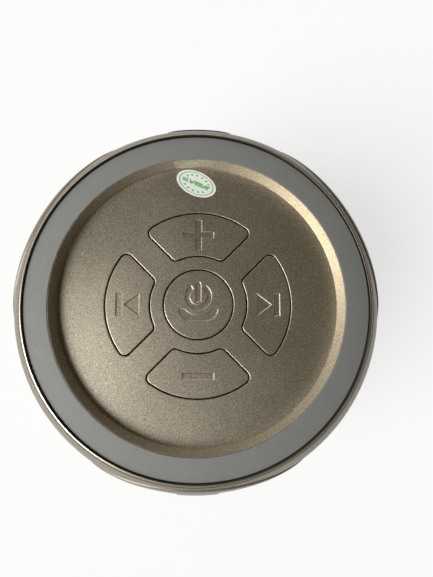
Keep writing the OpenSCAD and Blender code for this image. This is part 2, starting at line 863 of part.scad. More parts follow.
module basket(side) {
    low = flange_z - basket_depth;
    opening_w = 15;
    opening_rise = 2.6;
    opening_h = basket_depth - opening_rise - sheet_t;
    opening_in = 3;
    opening_r = plate_r - opening_in;
    lip_r = surround_out_r - surround_lip + seat_gap;
    flare = 0.5;
    color("#3c3c3e") on_driver(side) difference() {
        rotate_extrude() polygon([
            [lip_r, -gasket_t], [driver_r, -gasket_t], [driver_r, flange_z],
            [driver_bore_r + flare, flange_z], [plate_r + sheet_t, low], [plate_r, low], [plate_r, plate_z],
            [plate_in_r, plate_z], [plate_in_r, basket_floor_z], [plate_r - spider_ledge_w, basket_floor_z],
            [plate_r - spider_ledge_w, spider_ledge_z], [plate_r + run_gap, spider_ledge_z],
            [driver_bore_r + flare - sheet_t - seat_gap, flange_z], [lip_r, flange_z]]);
        around(4, driver_screw_circle, 45) translate([0, 0, flange_z - 1])
            cylinder(r = screw_hole_r, h = flange_t + 2);
        around(4, opening_r) translate([0, -opening_w / 2, low + opening_rise])
            cube([driver_bore_r, opening_w, opening_h]);
    }
}

module magnet(side) {
    magnet_step = 1.6;
    color("#4a4a4d") on_driver(side) ring(magnet_r, plate_in_r + magnet_step, magnet_z, magnet_h);
}

module yoke(side) {
    vent_r = 1.5;
    yoke_edge = 0.5;
    color("#8b8d90") on_driver(side) difference() {
        union() {
            translate([0, 0, yoke_z]) cylinder(r = plate_r + yoke_edge, h = plate_t);
            translate([0, 0, yoke_z]) cylinder(r = pole_r, h = plate_z + plate_t - yoke_z);
        }
        translate([0, 0, yoke_z - 1]) cylinder(r = vent_r, h = plate_z + plate_t - yoke_z + 2);
    }
}

module voice_coil(side) {
    color("#b26a3a") on_driver(side) ring(coil_out_r, coil_in_r, coil_low_z, coil_top_z - coil_low_z);
}

module spider(side) {
    r_in = coil_out_r + seat_gap;
    r_out = plate_r - seat_gap;
    flat_r = plate_r - spider_ledge_w - 2 * seat_gap;
    waves = 3;
    steps = 24;
    height = 0.35;
    function wave(r) = r > flat_r ? 0 : height * sin(360 * waves * (flat_r - r) / (flat_r - r_in));
    line = [for (i = [0:steps]) let (r = r_in + (r_out - r_in) * i / steps) [r, spider_z + wave(r)]];
    color("#c9a25a") on_driver(side) rotate_extrude()
        polygon(concat(line, [for (i = [steps:-1:0]) line[i] + [0, spider_t]]));
}

module surround(side) {
    half_t = surround_t / 2;
    color("#1d1d1d") on_driver(side) rotate_extrude() translate([roll_centre_r, -gasket_t]) {
        intersection() {
            difference() {
                circle(r = roll_r + half_t);
                circle(r = roll_r - half_t);
            }
            translate([-2 * roll_r, 0]) square([4 * roll_r, 2 * roll_r]);
        }
        translate([-roll_r - surround_lip, 0]) square([surround_lip + half_t, surround_t]);
        translate([roll_r - half_t, 0]) square([surround_lip + half_t, surround_t]);
    }
}

module cone(side) {
    neck_r = coil_out_r + seat_gap / 2;
    low = cone_neck_z;
    high = cone_edge_z - cone_t;
    at_cap = low + (high - low) * (cap_r - neck_r) / (cone_r - neck_r);
    cap_curve = (cap_h * cap_h + cap_r * cap_r) / (2 * cap_h);
    cap_turn = asin(cap_r / cap_curve);
    cap_centre = at_cap + cone_t + cap_h - cap_curve;
    color("#2a2a2c") on_driver(side) rotate_extrude() {
        polygon([[neck_r, low], [cone_r, high], [cone_r, high + cone_t], [neck_r, low + cone_t]]);
        polygon(concat(
            arc(0, cap_centre, cap_curve, 90 - cap_turn, 90, 8),
            arc(0, cap_centre, cap_curve - cone_t, 90, 90 - cap_turn, 8)));
    }
}

// Ports and main board

module port_cut(x, z, w, h, r) {
    translate([x, belly_r / 2, z]) rotate([-90, 0, 0]) linear_extrude(belly_r) polygon(round_rect(w, h, r));
}

usb_x = board_x + usb_h / 2;
card_x = board_x + card_h / 2;
charge_x = board_x + charge_h / 2;
audio_x = board_x + audio_w / 2;
usb_y = barrel_r(usb_z - usb_w / 2, 0);
card_y = barrel_r(card_z - card_w / 2, 0);
charge_y = barrel_r(charge_z + charge_w / 2, 0);
audio_y = barrel_r(audio_z + collar_r, 0);

module port_panel() {
    grow = 2 * port_gap;
    color("#35363a") difference() {
        rotate([0, 0, 180]) front_layer(-frame_proud, seat_depth - seat_gap) port_outline(0);
        port_cut(usb_x, usb_z, usb_h + grow, usb_w + grow, usb_corner);
        port_cut(card_x, card_z, card_h + grow, card_w + grow, card_corner);
        port_cut(charge_x, charge_z, charge_h + grow, charge_w + grow, charge_corner);
        translate([audio_x, belly_r / 2, audio_z]) rotate([-90, 0, 0])
            cylinder(r = collar_r + port_gap, h = belly_r);
    }
}

// Tin shell with an open front and a tongue, lying against the main board
module socket_shell(x, y, z, w, h, l, tongue_w, tongue_h) {
    back = 2;
    translate([board_x, y - l, z - w / 2]) difference() {
        cube([h, l, w]);
        translate([shell_t, back, shell_t]) cube([h - 2 * shell_t, l, w - 2 * shell_t]);
    }
    translate([x - tongue_h / 2, y - l, z - tongue_w / 2]) cube([tongue_h, l - 1, tongue_w]);
}

module usb_socket() {
    color("#b9bcc0")
        socket_shell(usb_x, usb_y, usb_z, usb_w, usb_h, usb_l, usb_tongue_w, usb_tongue_h);
}

module charging_socket() {
    color("#b9bcc0") socket_shell(charge_x, charge_y, charge_z, charge_w, charge_h, charge_l,
        charge_tongue_w, charge_tongue_h);
}

module card_socket() {
    slot_h = 1.1;
    slot_w = 11.4;
    slot_l = 11;
    color("#b9bcc0") difference() {
        translate([board_x, card_y - card_l, card_z - card_w / 2]) cube([card_h, card_l, card_w]);
        translate([card_x - slot_h / 2, card_y - slot_l, card_z - slot_w / 2])
            cube([slot_h, slot_l + 1, slot_w]);
    }
}

module audio_socket() {
    collar_l = 3;
    color("#202124") difference() {
        union() {
            translate([board_x, audio_y - collar_l - audio_l, audio_z - audio_w / 2])
                cube([audio_w, audio_l, audio_w]);
            translate([audio_x, audio_y, audio_z]) rotate([90, 0, 0])
                cylinder(r = collar_r, h = collar_l + 1);
        }
        translate([audio_x, audio_y + 1, audio_z]) rotate([90, 0, 0])
            cylinder(r = audio_r, h = collar_l + audio_l - 1);
    }
}

module main_board() {
    chip_h = 1.2;
    chip_w = 7;
    chip_in = 4;
    can_r = 3;
    can_h = 7;
    can_in = 9;
    solder = 0.1;
    color("#2f6b3c") union() {
        translate([board_x - board_t, board_in_y, board_low_z])
            cube([board_t, board_out_y - board_in_y, board_high_z - board_low_z]);
        for (z = [usb_z, card_z]) translate([board_x - solder, board_in_y + chip_in, z])
            cube([chip_h + solder, chip_w, chip_w]);
        for (z = [usb_z, card_z, audio_z]) translate([board_x - board_t + solder, board_in_y + can_in, z])
            rotate([0, -90, 0]) cylinder(r = can_r, h = can_h + solder);
    }
}

main_housing();
bottom_cover();
rubber_feet();
cover_screws();
top_panel();
rim_ring();
light_ring();
light_board();
key_board();
key_switches();
panel_screws();
driver_screws();
driver_gaskets();
port_panel();
charging_socket();
audio_socket();
card_socket();
usb_socket();
main_board();
battery_cells();
microphone();
status_lens();
for (side = SIDES) {
    grille(side);
    frame(side);
    basket(side);
    magnet(side);
    yoke(side);
    spider(side);
    surround(side);
    voice_coil(side);
    cone(side);
}
for (name = KEYS) {
    key(name);
    plunger(name);
}
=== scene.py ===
from math import cos, pi, radians, sin, sqrt

import bmesh
import bpy
import numpy as np
from mathutils import Matrix, Vector
from mathutils.geometry import delaunay_2d_cdt


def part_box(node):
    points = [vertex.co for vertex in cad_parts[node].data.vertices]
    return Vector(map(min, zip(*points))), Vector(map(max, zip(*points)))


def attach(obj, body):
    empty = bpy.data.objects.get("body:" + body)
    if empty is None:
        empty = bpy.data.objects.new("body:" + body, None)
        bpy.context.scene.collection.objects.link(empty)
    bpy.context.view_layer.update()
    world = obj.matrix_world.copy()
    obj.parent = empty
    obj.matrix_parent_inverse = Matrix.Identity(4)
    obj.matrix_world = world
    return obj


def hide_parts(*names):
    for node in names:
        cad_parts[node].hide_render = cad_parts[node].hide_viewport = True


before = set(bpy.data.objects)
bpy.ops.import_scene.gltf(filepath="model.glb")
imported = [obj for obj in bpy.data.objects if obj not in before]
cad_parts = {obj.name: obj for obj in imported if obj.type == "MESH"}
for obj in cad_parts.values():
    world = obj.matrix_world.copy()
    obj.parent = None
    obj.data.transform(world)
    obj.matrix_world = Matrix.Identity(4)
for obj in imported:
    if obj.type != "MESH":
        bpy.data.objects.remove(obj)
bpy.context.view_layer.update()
MM = 0.001

# Camera, floor and light
# The eye is about 14 cm above the dish and looks almost straight down. A broad soft lamp stands at the lower
# left, the walls of the studio are pale and its ceiling is dim, so that the dish shades off to the upper right.
FLOOR_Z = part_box("key_power")[1].z / MM
EYE = Vector((0.9, -7.7, FLOOR_Z + 142.7)) * MM
LOOK = Vector((0.0355, 0.091, -0.995)).normalized()
LAMP_FROM = Vector((-0.665, -0.335, 0.67))

camera = bpy.data.objects.new("camera", bpy.data.cameras.new("camera"))
bpy.context.scene.collection.objects.link(camera)
to_right = LOOK.cross(Vector((0, 1, 0))).normalized()
axes = Matrix((to_right, to_right.cross(LOOK), -LOOK)).transposed()
camera.matrix_world = Matrix.Translation(EYE) @ axes.to_4x4()
camera.data.lens = 27.0
camera.data.clip_start = 0.01
bpy.context.scene.camera = camera
bpy.context.scene.view_settings.view_transform = "Standard"

lamp = bpy.data.objects.new("lamp", bpy.data.lights.new("lamp", "SUN"))
bpy.context.scene.collection.objects.link(lamp)
lamp.data.energy = 3.5
lamp.data.angle = radians(44)
lamp.rotation_euler = LAMP_FROM.to_track_quat("Z", "Y").to_euler()


class Socket:
    """Output of a shader node. Sums, differences, products and powers with it add Math nodes."""

    def __init__(self, nodes, output):
        self.nodes, self.output = nodes, output

    def __add__(self, other):
        return self.nodes.maths("ADD", self, other)

    def __radd__(self, other):
        return self.nodes.maths("ADD", other, self)

    def __sub__(self, other):
        return self.nodes.maths("SUBTRACT", self, other)

    def __rsub__(self, other):
        return self.nodes.maths("SUBTRACT", other, self)

    def __mul__(self, other):
        return self.nodes.maths("MULTIPLY", self, other)

    def __truediv__(self, other):
        return self.nodes.maths("DIVIDE", self, other)

    def __pow__(self, other):
        return self.nodes.maths("POWER", self, other)

    def __gt__(self, other):
        return self.nodes.maths("GREATER_THAN", self, other)

    def __lt__(self, other):
        return self.nodes.maths("LESS_THAN", self, other)


class Nodes:
    """A tree of shader nodes. Each method adds the nodes of one step and gives their output."""

    def __init__(self, tree):
        self.tree = tree

    def give(self, node, sockets):
        """Links sockets of a node to outputs, or sets them to plain values."""
        for key, value in sockets.items():
            if isinstance(value, Socket):
                self.tree.links.new(value.output, node.inputs[key])
            else:
                node.inputs[key].default_value = value

    def node(self, kind, settings, sockets, output=0):
        """Adds one node with its settings and the values of its sockets, and gives one output."""
        made = self.tree.nodes.new(kind)
        for key, value in settings.items():
            setattr(made, key, value)
        self.give(made, sockets)
        return Socket(self, made.outputs[output])

    def maths(self, operation, first, second):
        """One Math node with two inputs."""
        return self.node("ShaderNodeMath", {"operation": operation}, {0: first, 1: second})

    def mix(self, first, second, factor):
        """The first colour at a factor of 0, the second at 1."""
        return self.node("ShaderNodeMix", {"data_type": "RGBA"}, {0: factor, 6: first, 7: second}, 2)

    def rise(self, value, low, high):
        """0 below low, 1 above high, smoothly between."""
        return self.node("ShaderNodeMapRange", {"interpolation_type": "SMOOTHSTEP"}, {
            "Value": value, "From Min": low, "From Max": high})


PALE_WALL, DIM_WALL, CEILING = (1.5, 1.49, 1.45, 1), (0.13, 0.12, 0.095, 1), (0.047, 0.04, 0.021, 1)
TO_PALE_WALL = (-0.95, 0.3, 0)
studio = bpy.data.worlds.new("studio")
bpy.context.scene.world = studio
studio.use_nodes = True
room = Nodes(studio.node_tree)
direction = room.node("ShaderNodeTexCoord", {}, {}, "Generated")
height = room.node("ShaderNodeSeparateXYZ", {}, {0: direction}, "Z")
towards = room.node("ShaderNodeVectorMath", {"operation": "DOT_PRODUCT"}, {0: direction, 1: TO_PALE_WALL}, "Value")
walls = room.mix(DIM_WALL, PALE_WALL, room.rise(towards, -0.4, 0.5))
room.give(room.tree.nodes["Background"], {"Color": room.mix(walls, CEILING, room.rise(height, 0.30, 0.62))})

GROUND_HALF, WHITE_SHARE = 3, 0.7
ground_mesh = bpy.data.meshes.new("ground")
ground_mesh.from_pydata([(x * GROUND_HALF, y * GROUND_HALF, 0) for x, y in ((-1, -1), (1, -1), (1, 1), (-1, 1))],
                        [], [(0, 1, 2, 3)])
ground = bpy.data.objects.new("ground", ground_mesh)
bpy.context.scene.collection.objects.link(ground)
ground_paint = bpy.data.materials.new("ground_white")
ground_paint.use_nodes = True
paint = Nodes(ground_paint.node_tree)
matt = paint.tree.nodes["Principled BSDF"]
paint.give(matt, {"Base Color": (0.94, 0.94, 0.94, 1), "Roughness": 0.9})
by_eye, by_gloss, by_glass = (paint.node("ShaderNodeLightPath", {}, {}, f"Is {kind} Ray")
                              for kind in ("Camera", "Glossy", "Transmission"))
seen = paint.maths("MAXIMUM", paint.maths("MAXIMUM", by_eye, by_gloss), by_glass)
white = paint.node("ShaderNodeEmission", {}, {})
floor = paint.node("ShaderNodeMixShader", {}, {0: seen * WHITE_SHARE, 1: Socket(paint, matt.outputs[0]), 2: white})
paint.give(paint.tree.nodes["Material Output"], {"Surface": floor})
ground_mesh.materials.append(ground_paint)

# Main housing
# A drum moulded in one piece: a belly curve between a shoulder and a base curve, three oval seats with driver
# bores, a seat for the port panel, and a deck with a channel and a groove under the rim. Satin champagne paint.
RIM_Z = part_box("main_housing")[1].z / MM
BASE_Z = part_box("main_housing")[0].z / MM
BELLY_R = 67.0
BELLY_H, SHOULDER_H = 56.0, 18.5
BELLY_SLOPE = radians(8)
SHOULDER_CURVE = 40.0
BELLY_CURVE = BELLY_H / 2 / sin(BELLY_SLOPE)
BELLY_CENTRE = BELLY_R - BELLY_CURVE
SHOULDER_CENTRE = BELLY_CENTRE + (BELLY_CURVE - SHOULDER_CURVE) * cos(BELLY_SLOPE)
SHOULDER_RISE = BELLY_H / 2 - SHOULDER_CURVE * sin(BELLY_SLOPE)
MID_Z = RIM_Z - SHOULDER_H - BELLY_H / 2
WALL, SEAT_DEPTH, EDGE = 3.4, 1.4, 0.15
LIP_DROP, BASE_ROUND = 0.75, 0.6
SEAT_A, SEAT_B, SEAT_POWER = 46.961, 41.8, 2.3
SEAT_GAP, SEAT_DROP = 0.1, 2.1
SEAT_Z = RIM_Z - SEAT_DROP - SEAT_B
DRIVER_Z, DRIVER_SEAT, DRIVER_R, BORE_R = MID_Z - 0.2, 53.0, 29.0, 23.5
PORT_W, PORT_H, PORT_CORNER = 24.0, 66.0, 6.0
PORT_Z = MID_Z + 4.8
WINDOW = (8.5, 25.5, PORT_Z - 1.5)
FACINGS = {"front": 0, "right": 120, "left": 240}
COVER_LEDGE = (BASE_Z + 2.5, BASE_Z + 4.5)
COVER_R, LEDGE_IN = 53.73, 50.83
DECK_Z = FLOOR_Z - 6
DECK_LOW, DECK_IN = DECK_Z - 2.2, 42.6
BEAD_IN, BEAD_OUT = 55.98, 57.03
GROOVE_OUT, GROOVE_H, BEAD_SEAT = 57.6, 1.2, 0.4
COLUMNS = 240


def drum_radius(z, out=0.0):
    """Radius of the drum at a height: the axis distance of the belly's arc, or past the ends of the belly that of
    the shoulder's and the base's smaller arc, with both arcs moved outwards."""
    belly, curve = BELLY_CURVE + out, SHOULDER_CURVE + out
    rise = np.abs(z - MID_Z)
    on_belly = BELLY_CENTRE + np.sqrt(np.maximum(belly ** 2 - rise ** 2, 0))
    on_curve = SHOULDER_CENTRE + np.sqrt(np.maximum(curve ** 2 - (rise - SHOULDER_RISE) ** 2, 0))
    return np.where(rise <= belly * sin(BELLY_SLOPE), on_belly, on_curve)


def turned(radius, z, turn):
    """Points at a radius and height, turned from the front towards the right: (r sin t, -r cos t, z)."""
    return np.stack(np.broadcast_arrays(radius * np.sin(turn), -radius * np.cos(turn), z), -1)


def on_drum(x, z, turn, out):
    """Points of the drum, moved outwards, that are seen at (x, z) by someone who faces them at that turn."""
    radius = drum_radius(z, out)
    return turned(radius, z, turn + np.arcsin(np.clip(x / radius, -1, 1)))


def on_plane(x, z, turn, distance):
    """Points at (x, z) of a plane that stands square to a turn, at a distance from the axis."""
    return np.stack([x * cos(turn) + distance * sin(turn), x * sin(turn) - distance * cos(turn), z], -1)


def rounded(corners, steps):
    """Closed outline through corners (x, y, reach) as complex numbers. Each corner is a parabola that leaves one
    side at that reach before the corner and meets the next side at the same reach after it."""
    corner = np.array([complex(x, y) for x, y, reach in corners])[:, None]
    reach = np.array([reach for x, y, reach in corners])[:, None]
    before, after = np.roll(corner, 1) - corner, np.roll(corner, -1) - corner
    start = corner + reach * before / np.abs(before)
    end = corner + reach * after / np.abs(after)
    t = np.linspace(0, 1, steps + 1)
    return ((1 - t) ** 2 * start + 2 * t * (1 - t) * corner + t ** 2 * end).ravel()


def closed(outline):
    """The outline with its first point once more at its end."""
    return np.append(outline, outline[:1])


def seat_line(inset, t):
    """Outline of a grille seat, a superellipse: x = a |cos t|^(2/p), z = b |sin t|^(2/p), with their signs."""
    across, up = (np.sign(wave) * np.abs(wave) ** (2 / SEAT_POWER) for wave in (np.cos(t), np.sin(t)))
    return (SEAT_A - inset) * across + 1j * (SEAT_B - inset) * up


def box_outline(half_w, half_h, reach):
    """Rectangle about 0 with four round corners."""
    return rounded([(half_w, -half_h, reach), (half_w, half_h, reach), (-half_w, half_h, reach),
                    (-half_w, -half_h, reach)], 12)


def dense(outline):
    """The same closed outline with 60 even steps along each of its sides."""
    t = np.arange(60) / 60
    return (outline[:, None] * (1 - t) + np.roll(outline, -1)[:, None] * t).ravel()


def along(outline, direction):
    """Points where rays from 0 leave an outline: its distance from 0, read off at each ray's angle."""
    angle = np.angle(outline)
    order = np.argsort(angle)
    distance = np.interp(np.angle(direction), angle[order], np.abs(outline)[order], period=2 * pi)
    return distance * direction / np.abs(direction)


class Shell:
    """Grids of points and level areas, in millimetres, that are sewn into one closed mesh."""

    def __init__(self):
        self.points, self.faces, self.count = [], [], 0

    def take(self, points, faces):
        """Adds points, and faces that count them from 0."""
        self.points.append(points.reshape(-1, 3))
        self.faces.append(faces + self.count)
        self.count += len(self.points[-1])

    def grid(self, points):
        """Four neighbours in a grid of points make one face."""
        number = np.arange(points.shape[0] * points.shape[1]).reshape(points.shape[:2])
        corners = [number[:-1, :-1], number[:-1, 1:], number[1:, 1:], number[1:, :-1]]
        self.take(points, np.stack(corners, -1).reshape(-1, 4))

    def revolve(self, profile, columns=COLUMNS):
        """Each point r + iz of a profile goes once round the axis."""
        turns = np.radians(np.linspace(-60, 300, columns + 1))
        self.grid(turned(profile.real[:, None], profile.imag[:, None], turns[None]))

    def sweep(self, outlines, heights):
        """Closed outlines of equal length, each at its height, joined one to the next."""
        rows = [closed(outline) for outline in outlines]
        self.grid(np.stack([np.stack([row.real, row.imag, np.full(len(row), z)], -1)
                            for row, z in zip(rows, heights)]))

    def fill(self, outlines, z):
        """Level area at a height, inside the first outline and outside the others: the triangles between all the
        corners whose middle has an odd number of sides to its right."""
        corners, sides = [], []
        for outline in outlines:
            numbers = len(corners) + np.arange(len(outline))
            sides += zip(numbers.tolist(), np.roll(numbers, -1).tolist())
            corners += [Vector((p.real, p.imag)) for p in outline]
        points, _, faces = delaunay_2d_cdt(corners, sides, [], 1, 1e-6)[:3]
        points, faces = np.array([(p.x, p.y, z) for p in points]), np.array(faces)
        middle = points[faces].mean(1)[:, None]
        first = np.concatenate(outlines)
        second = np.concatenate([np.roll(outline, -1) for outline in outlines])
        rise = np.where(first.imag == second.imag, 1, second.imag - first.imag)
        meets = first.real + (middle[..., 1] - first.imag) * (second.real - first.real) / rise
        passes = (first.imag > middle[..., 1]) != (second.imag > middle[..., 1])
        self.take(points, faces[(passes & (meets > middle[..., 0])).sum(1) % 2 == 1])

    def piece(self, name, body, slot, finish, replaces=()):
        """Merges doubles, turns the faces outwards, keeps edges of more than 35 degrees sharp, gives the piece its
        finish, hands it to its body and hides the CAD nodes it replaces. The slot is not used."""
        mesh = bpy.data.meshes.new(name)
        faces = [row for part in self.faces for row in part.tolist()]
        mesh.from_pydata(np.concatenate(self.points) * MM, [], faces)
        shape = bmesh.new()
        shape.from_mesh(mesh)
        bmesh.ops.remove_doubles(shape, verts=shape.verts, dist=1e-6)
        bmesh.ops.recalc_face_normals(shape, faces=shape.faces)
        shape.to_mesh(mesh)
        shape.free()
        mesh.shade_smooth()
        mesh.set_sharp_from_angle(angle=radians(35))
        mesh.materials.append(finish)
        made = bpy.data.objects.new(name, mesh)
        bpy.context.scene.collection.objects.link(made)
        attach(made, body)
        if replaces:
            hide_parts(*replaces)
        return made


class Finish(Nodes):
    """Shader nodes of one finish. The plain values of its surface are set when it is made."""

    def __init__(self, name, **plain):
        self.material = bpy.data.materials.new(name)
        self.material.use_nodes = True
        super().__init__(self.material.node_tree)
        self.set(plain)

    def set(self, values):
        """Gives the surface's sockets their values; a_b stands for the socket A B."""
        self.give(self.tree.nodes["Principled BSDF"], {
            key.replace("_", " ").title().replace("Ior", "IOR"): value for key, value in values.items()})

    def place(self):
        """Position on the object, in metres."""
        return self.node("ShaderNodeTexCoord", {}, {}, "Object")

    def axes(self, place=None):
        """X, Y and Z of a place."""
        split = self.node("ShaderNodeSeparateXYZ", {}, {0: place or self.place()})
        return [Socket(self, output) for output in split.output.node.outputs]

    def noise(self, scale, detail=2.0, place=None):
        """Soft random value near 0.5, which changes about scale times in a metre."""
        return self.node("ShaderNodeTexNoise", {}, {
            "Vector": place or self.place(), "Scale": scale, "Detail": detail})

    def flakes(self, scale, share):
        """1 in a share of small random cells and 0 between them."""
        cells = self.node("ShaderNodeTexVoronoi", {}, {"Vector": self.place(), "Scale": scale}, "Color")
        return self.node("ShaderNodeSeparateColor", {}, {0: cells}) > 1 - share

    def bump(self, heights, distance):
        """Normals of a surface that a height of 1 raises by a distance, in metres."""
        return self.node("ShaderNodeBump", {}, {"Height": heights, "Distance": distance, "Strength": 1.0})

    def done(self, **linked):
        """Links the last sockets and gives the material."""
        self.set(linked)
        return self.material


def shade(colour, factor):
    """A colour times a factor, with full alpha."""
    return tuple(part * factor for part in colour) + (1.0,)


def satin_paint(name, colour, metallic, roughness, grain, gloss=0.5, dish=False, painted_shade_radius=0):
    """Metal flake paint: fine light and dark grain, some brighter flakes, a slow drift of tone over the piece. In
    the dish the spray reaches the wall at a slant, which leaves it less metallic, and in the gaps below the
    symbols' depth the colour is painted nearly black, a painted shade. Within a radius the colour is painted dark
    brown, a painted shade on a ring's inner flank."""
    paint = Finish(name, specular_ior_level=gloss)
    fine = paint.noise(2800, 2.0)
    drift = paint.noise(45, 2.0)
    flake = paint.flakes(2600, 0.05)
    tone = (fine - 0.5) * grain + (drift - 0.5) * 0.2 + 0.5 + flake * 0.3
    base = paint.mix(shade(colour, 0.5), shade(colour, 1.5), tone)
    if dish:
        z = paint.axes()[2]
        metallic = metallic - paint.rise(z, FLOOR_Z * MM, (FLOOR_Z + 1) * MM) * 0.3
        # Below the symbols' depth the colour goes nearly black: painted shade in the gaps between the keys and the
        # panel.
        outside_painted_shade = paint.rise(z, (FLOOR_Z - 0.6) * MM, (FLOOR_Z - 0.35) * MM)
        base = paint.mix((0.012, 0.011, 0.009, 1), base, outside_painted_shade)
    # Within the given radius the colour goes dark brown: painted shade on the bead's inner flank, beside the light
    # ring.
    if painted_shade_radius:
        x, y = paint.axes()[:2]
        outside_painted_shade = paint.rise((x ** 2.0 + y ** 2.0) ** 0.5, (painted_shade_radius - 0.1) * MM, (painted_shade_radius + 0.1) * MM)
        base = paint.mix((0.085, 0.075, 0.058, 1), base, outside_painted_shade)
    return paint.done(
        base_color=base,
        metallic=metallic,
        roughness=roughness + (drift - 0.5) * 0.06,
        normal=paint.bump(fine, 0.00003))


def border(first, last, low, high):
    """Once round a part of the drum, as turns and heights: along its low edge, up, back along the top, down."""
    rows = 48
    across = np.radians(np.linspace(first, last, round((last - first) * COLUMNS / 360) + 1))
    up = np.linspace(low, high, rows + 1)
    turn = np.concatenate([across[:-1], np.full(rows, across[-1]), across[:0:-1], np.full(rows, across[0])])
    z = np.concatenate([np.full(len(across) - 1, low), up[:-1], np.full(len(across) - 1, high), up[:0:-1]])
    return np.append(turn, turn[0]), np.append(z, z[0])


def drum_part(shell, first, last, turn, opening, opening_z, inside):
    """Part of the wall between two turns, in rows from its border to the opening's outline, down into the seat,
    through the wall by the rows that inside gives, and over the inner skin back to the border."""
    edge_turn, edge_z = border(first, last, BASE_Z + BASE_ROUND, RIM_Z - LIP_DROP)
    facing = radians(turn)
    edge_x = drum_radius(edge_z) * np.sin(edge_turn - facing)
    rays = edge_x + 1j * (edge_z - opening_z)
    rows = []
    rim = along(opening(-EDGE), rays)
    for part in np.linspace(0, 1, 12):
        rows.append(on_drum(edge_x * (1 - part) + rim.real * part,
                            edge_z * (1 - part) + (rim.imag + opening_z) * part, facing, 0))
    for inset, out in [(-0.3 * EDGE, -0.3 * EDGE), (0, -EDGE), (0, -SEAT_DEPTH)]:
        rim = along(opening(inset), rays)
        rows.append(on_drum(rim.real, rim.imag + opening_z, facing, out))
    hole, hole_z, through = inside(rays, facing)
    for part in np.linspace(0.2, 1, 5):
        rows.append(on_drum(rim.real * (1 - part) + hole.real * part,
                            (rim.imag + opening_z) * (1 - part) + (hole.imag + hole_z) * part, facing, -SEAT_DEPTH))
    hole, hole_z = through(rows)
    share = (edge_z - edge_z.min()) / (edge_z.max() - edge_z.min())
    skin_z = COVER_LEDGE[1] + share * (DECK_LOW - COVER_LEDGE[1])
    skin_x = drum_radius(skin_z, -WALL) * np.sin(edge_turn - facing)
    for part in np.linspace(0, 1, 7):
        rows.append(on_drum(hole.real * (1 - part) + skin_x * part,
                            (hole.imag + hole_z) * (1 - part) + skin_z * part, facing, -WALL))
    shell.grid(np.stack(rows))


def driver_bore(rays, facing):
    """Round bore with a flat seat behind it and a boss that joins the inner skin."""
    unit = rays / np.abs(rays)

    def through(rows):
        rows.append(on_plane(BORE_R * unit.real, BORE_R * unit.imag + DRIVER_Z, facing, DRIVER_SEAT))
        rows.append(on_plane(DRIVER_R * unit.real, DRIVER_R * unit.imag + DRIVER_Z, facing, DRIVER_SEAT))
        return DRIVER_R * unit, DRIVER_Z

    return BORE_R * unit, DRIVER_Z, through


def port_window(rays, facing):
    """Rectangular window behind the port panel."""
    window = along(dense(box_outline(WINDOW[0], WINDOW[1], 0.4)), rays)
    return window, WINDOW[2], lambda rows: (window, WINDOW[2])


def port_outline(inset):
    """Outline of the port panel, moved inwards."""
    return dense(box_outline(PORT_W / 2 - inset, PORT_H / 2 - inset, PORT_CORNER - inset))


SEAT_TURNS = np.linspace(-pi, pi, 1440, endpoint=False)
housing = Shell()
for first, last, turn in [(-60, 60, 0), (60, 168, 120), (192, 300, 240)]:
    drum_part(
        housing, first, last, turn, lambda inset: seat_line(inset - SEAT_GAP, SEAT_TURNS), SEAT_Z, driver_bore)
drum_part(housing, 168, 192, 180, lambda inset: port_outline(inset - SEAT_GAP), PORT_Z, port_window)
lip_z, groove_z, base_top = RIM_Z - LIP_DROP, RIM_Z - GROOVE_H, BASE_Z + BASE_ROUND
lip_r, base_r, foot_r = (float(drum_radius(z)) for z in (lip_z, base_top, BASE_Z))
housing.revolve(np.array([
    lip_r + 1j * lip_z, GROOVE_OUT + 0.20 + 1j * (RIM_Z - 0.50), GROOVE_OUT + 0.08 + 1j * (RIM_Z - 0.44),
    GROOVE_OUT + 1j * (RIM_Z - 0.56), GROOVE_OUT + 1j * groove_z, BEAD_OUT + SEAT_GAP + 1j * groove_z,
    BEAD_OUT + SEAT_GAP + 1j * (groove_z - BEAD_SEAT), BEAD_IN + 1j * (groove_z - BEAD_SEAT),
    BEAD_IN + 1j * DECK_Z, DECK_IN + 1j * DECK_Z, DECK_IN + 1j * DECK_LOW,
    float(drum_radius(DECK_LOW, -WALL)) + 1j * DECK_LOW]))
housing.revolve(np.array([
    base_r + 1j * base_top, foot_r + 0.06 + 1j * (BASE_Z + 0.2), foot_r - 0.15 + 1j * (BASE_Z + 0.05),
    foot_r - 0.4 + 1j * BASE_Z, COVER_R + 1j * BASE_Z, COVER_R + 1j * COVER_LEDGE[0],
    LEDGE_IN + 1j * COVER_LEDGE[0], LEDGE_IN + 1j * COVER_LEDGE[1],
    float(drum_radius(COVER_LEDGE[1], -WALL)) + 1j * COVER_LEDGE[1]]))
# The drum and the frames use the panel's champagne darkened to 0.4 of its value: painted shade on the same paint.
CHAMPAGNE, SHADED_CHAMPAGNE = (0.525, 0.465, 0.365), (0.21, 0.186, 0.147)
body_paint = satin_paint("body_paint", SHADED_CHAMPAGNE, 0.5, 0.42, 1.6, 0.25)
housing.piece("drum", "housing", "body_paint", body_paint, ["main_housing"])

# Grille frames
# Moulded oval rings that stand 0.5 mm proud of the drum and hold the sheet on a lip behind it. The front one has
# a short tab at its top with the hole of the microphone and that of the status lens. Satin champagne lacquer.
FRAME_W, FRAME_OUT, FRAME_EDGE = 2.6, 0.49, 0.3
FRAME_LIP, LIP_OUT = 1.2, -0.7
TAB_HALF, TAB_H, TAB_ROUND = 7.0, 6.0, 0.8
TAB_HOLES, TAB_HOLE_R = [(2.0, 3.0), (-4.9, 6.0)], 0.45


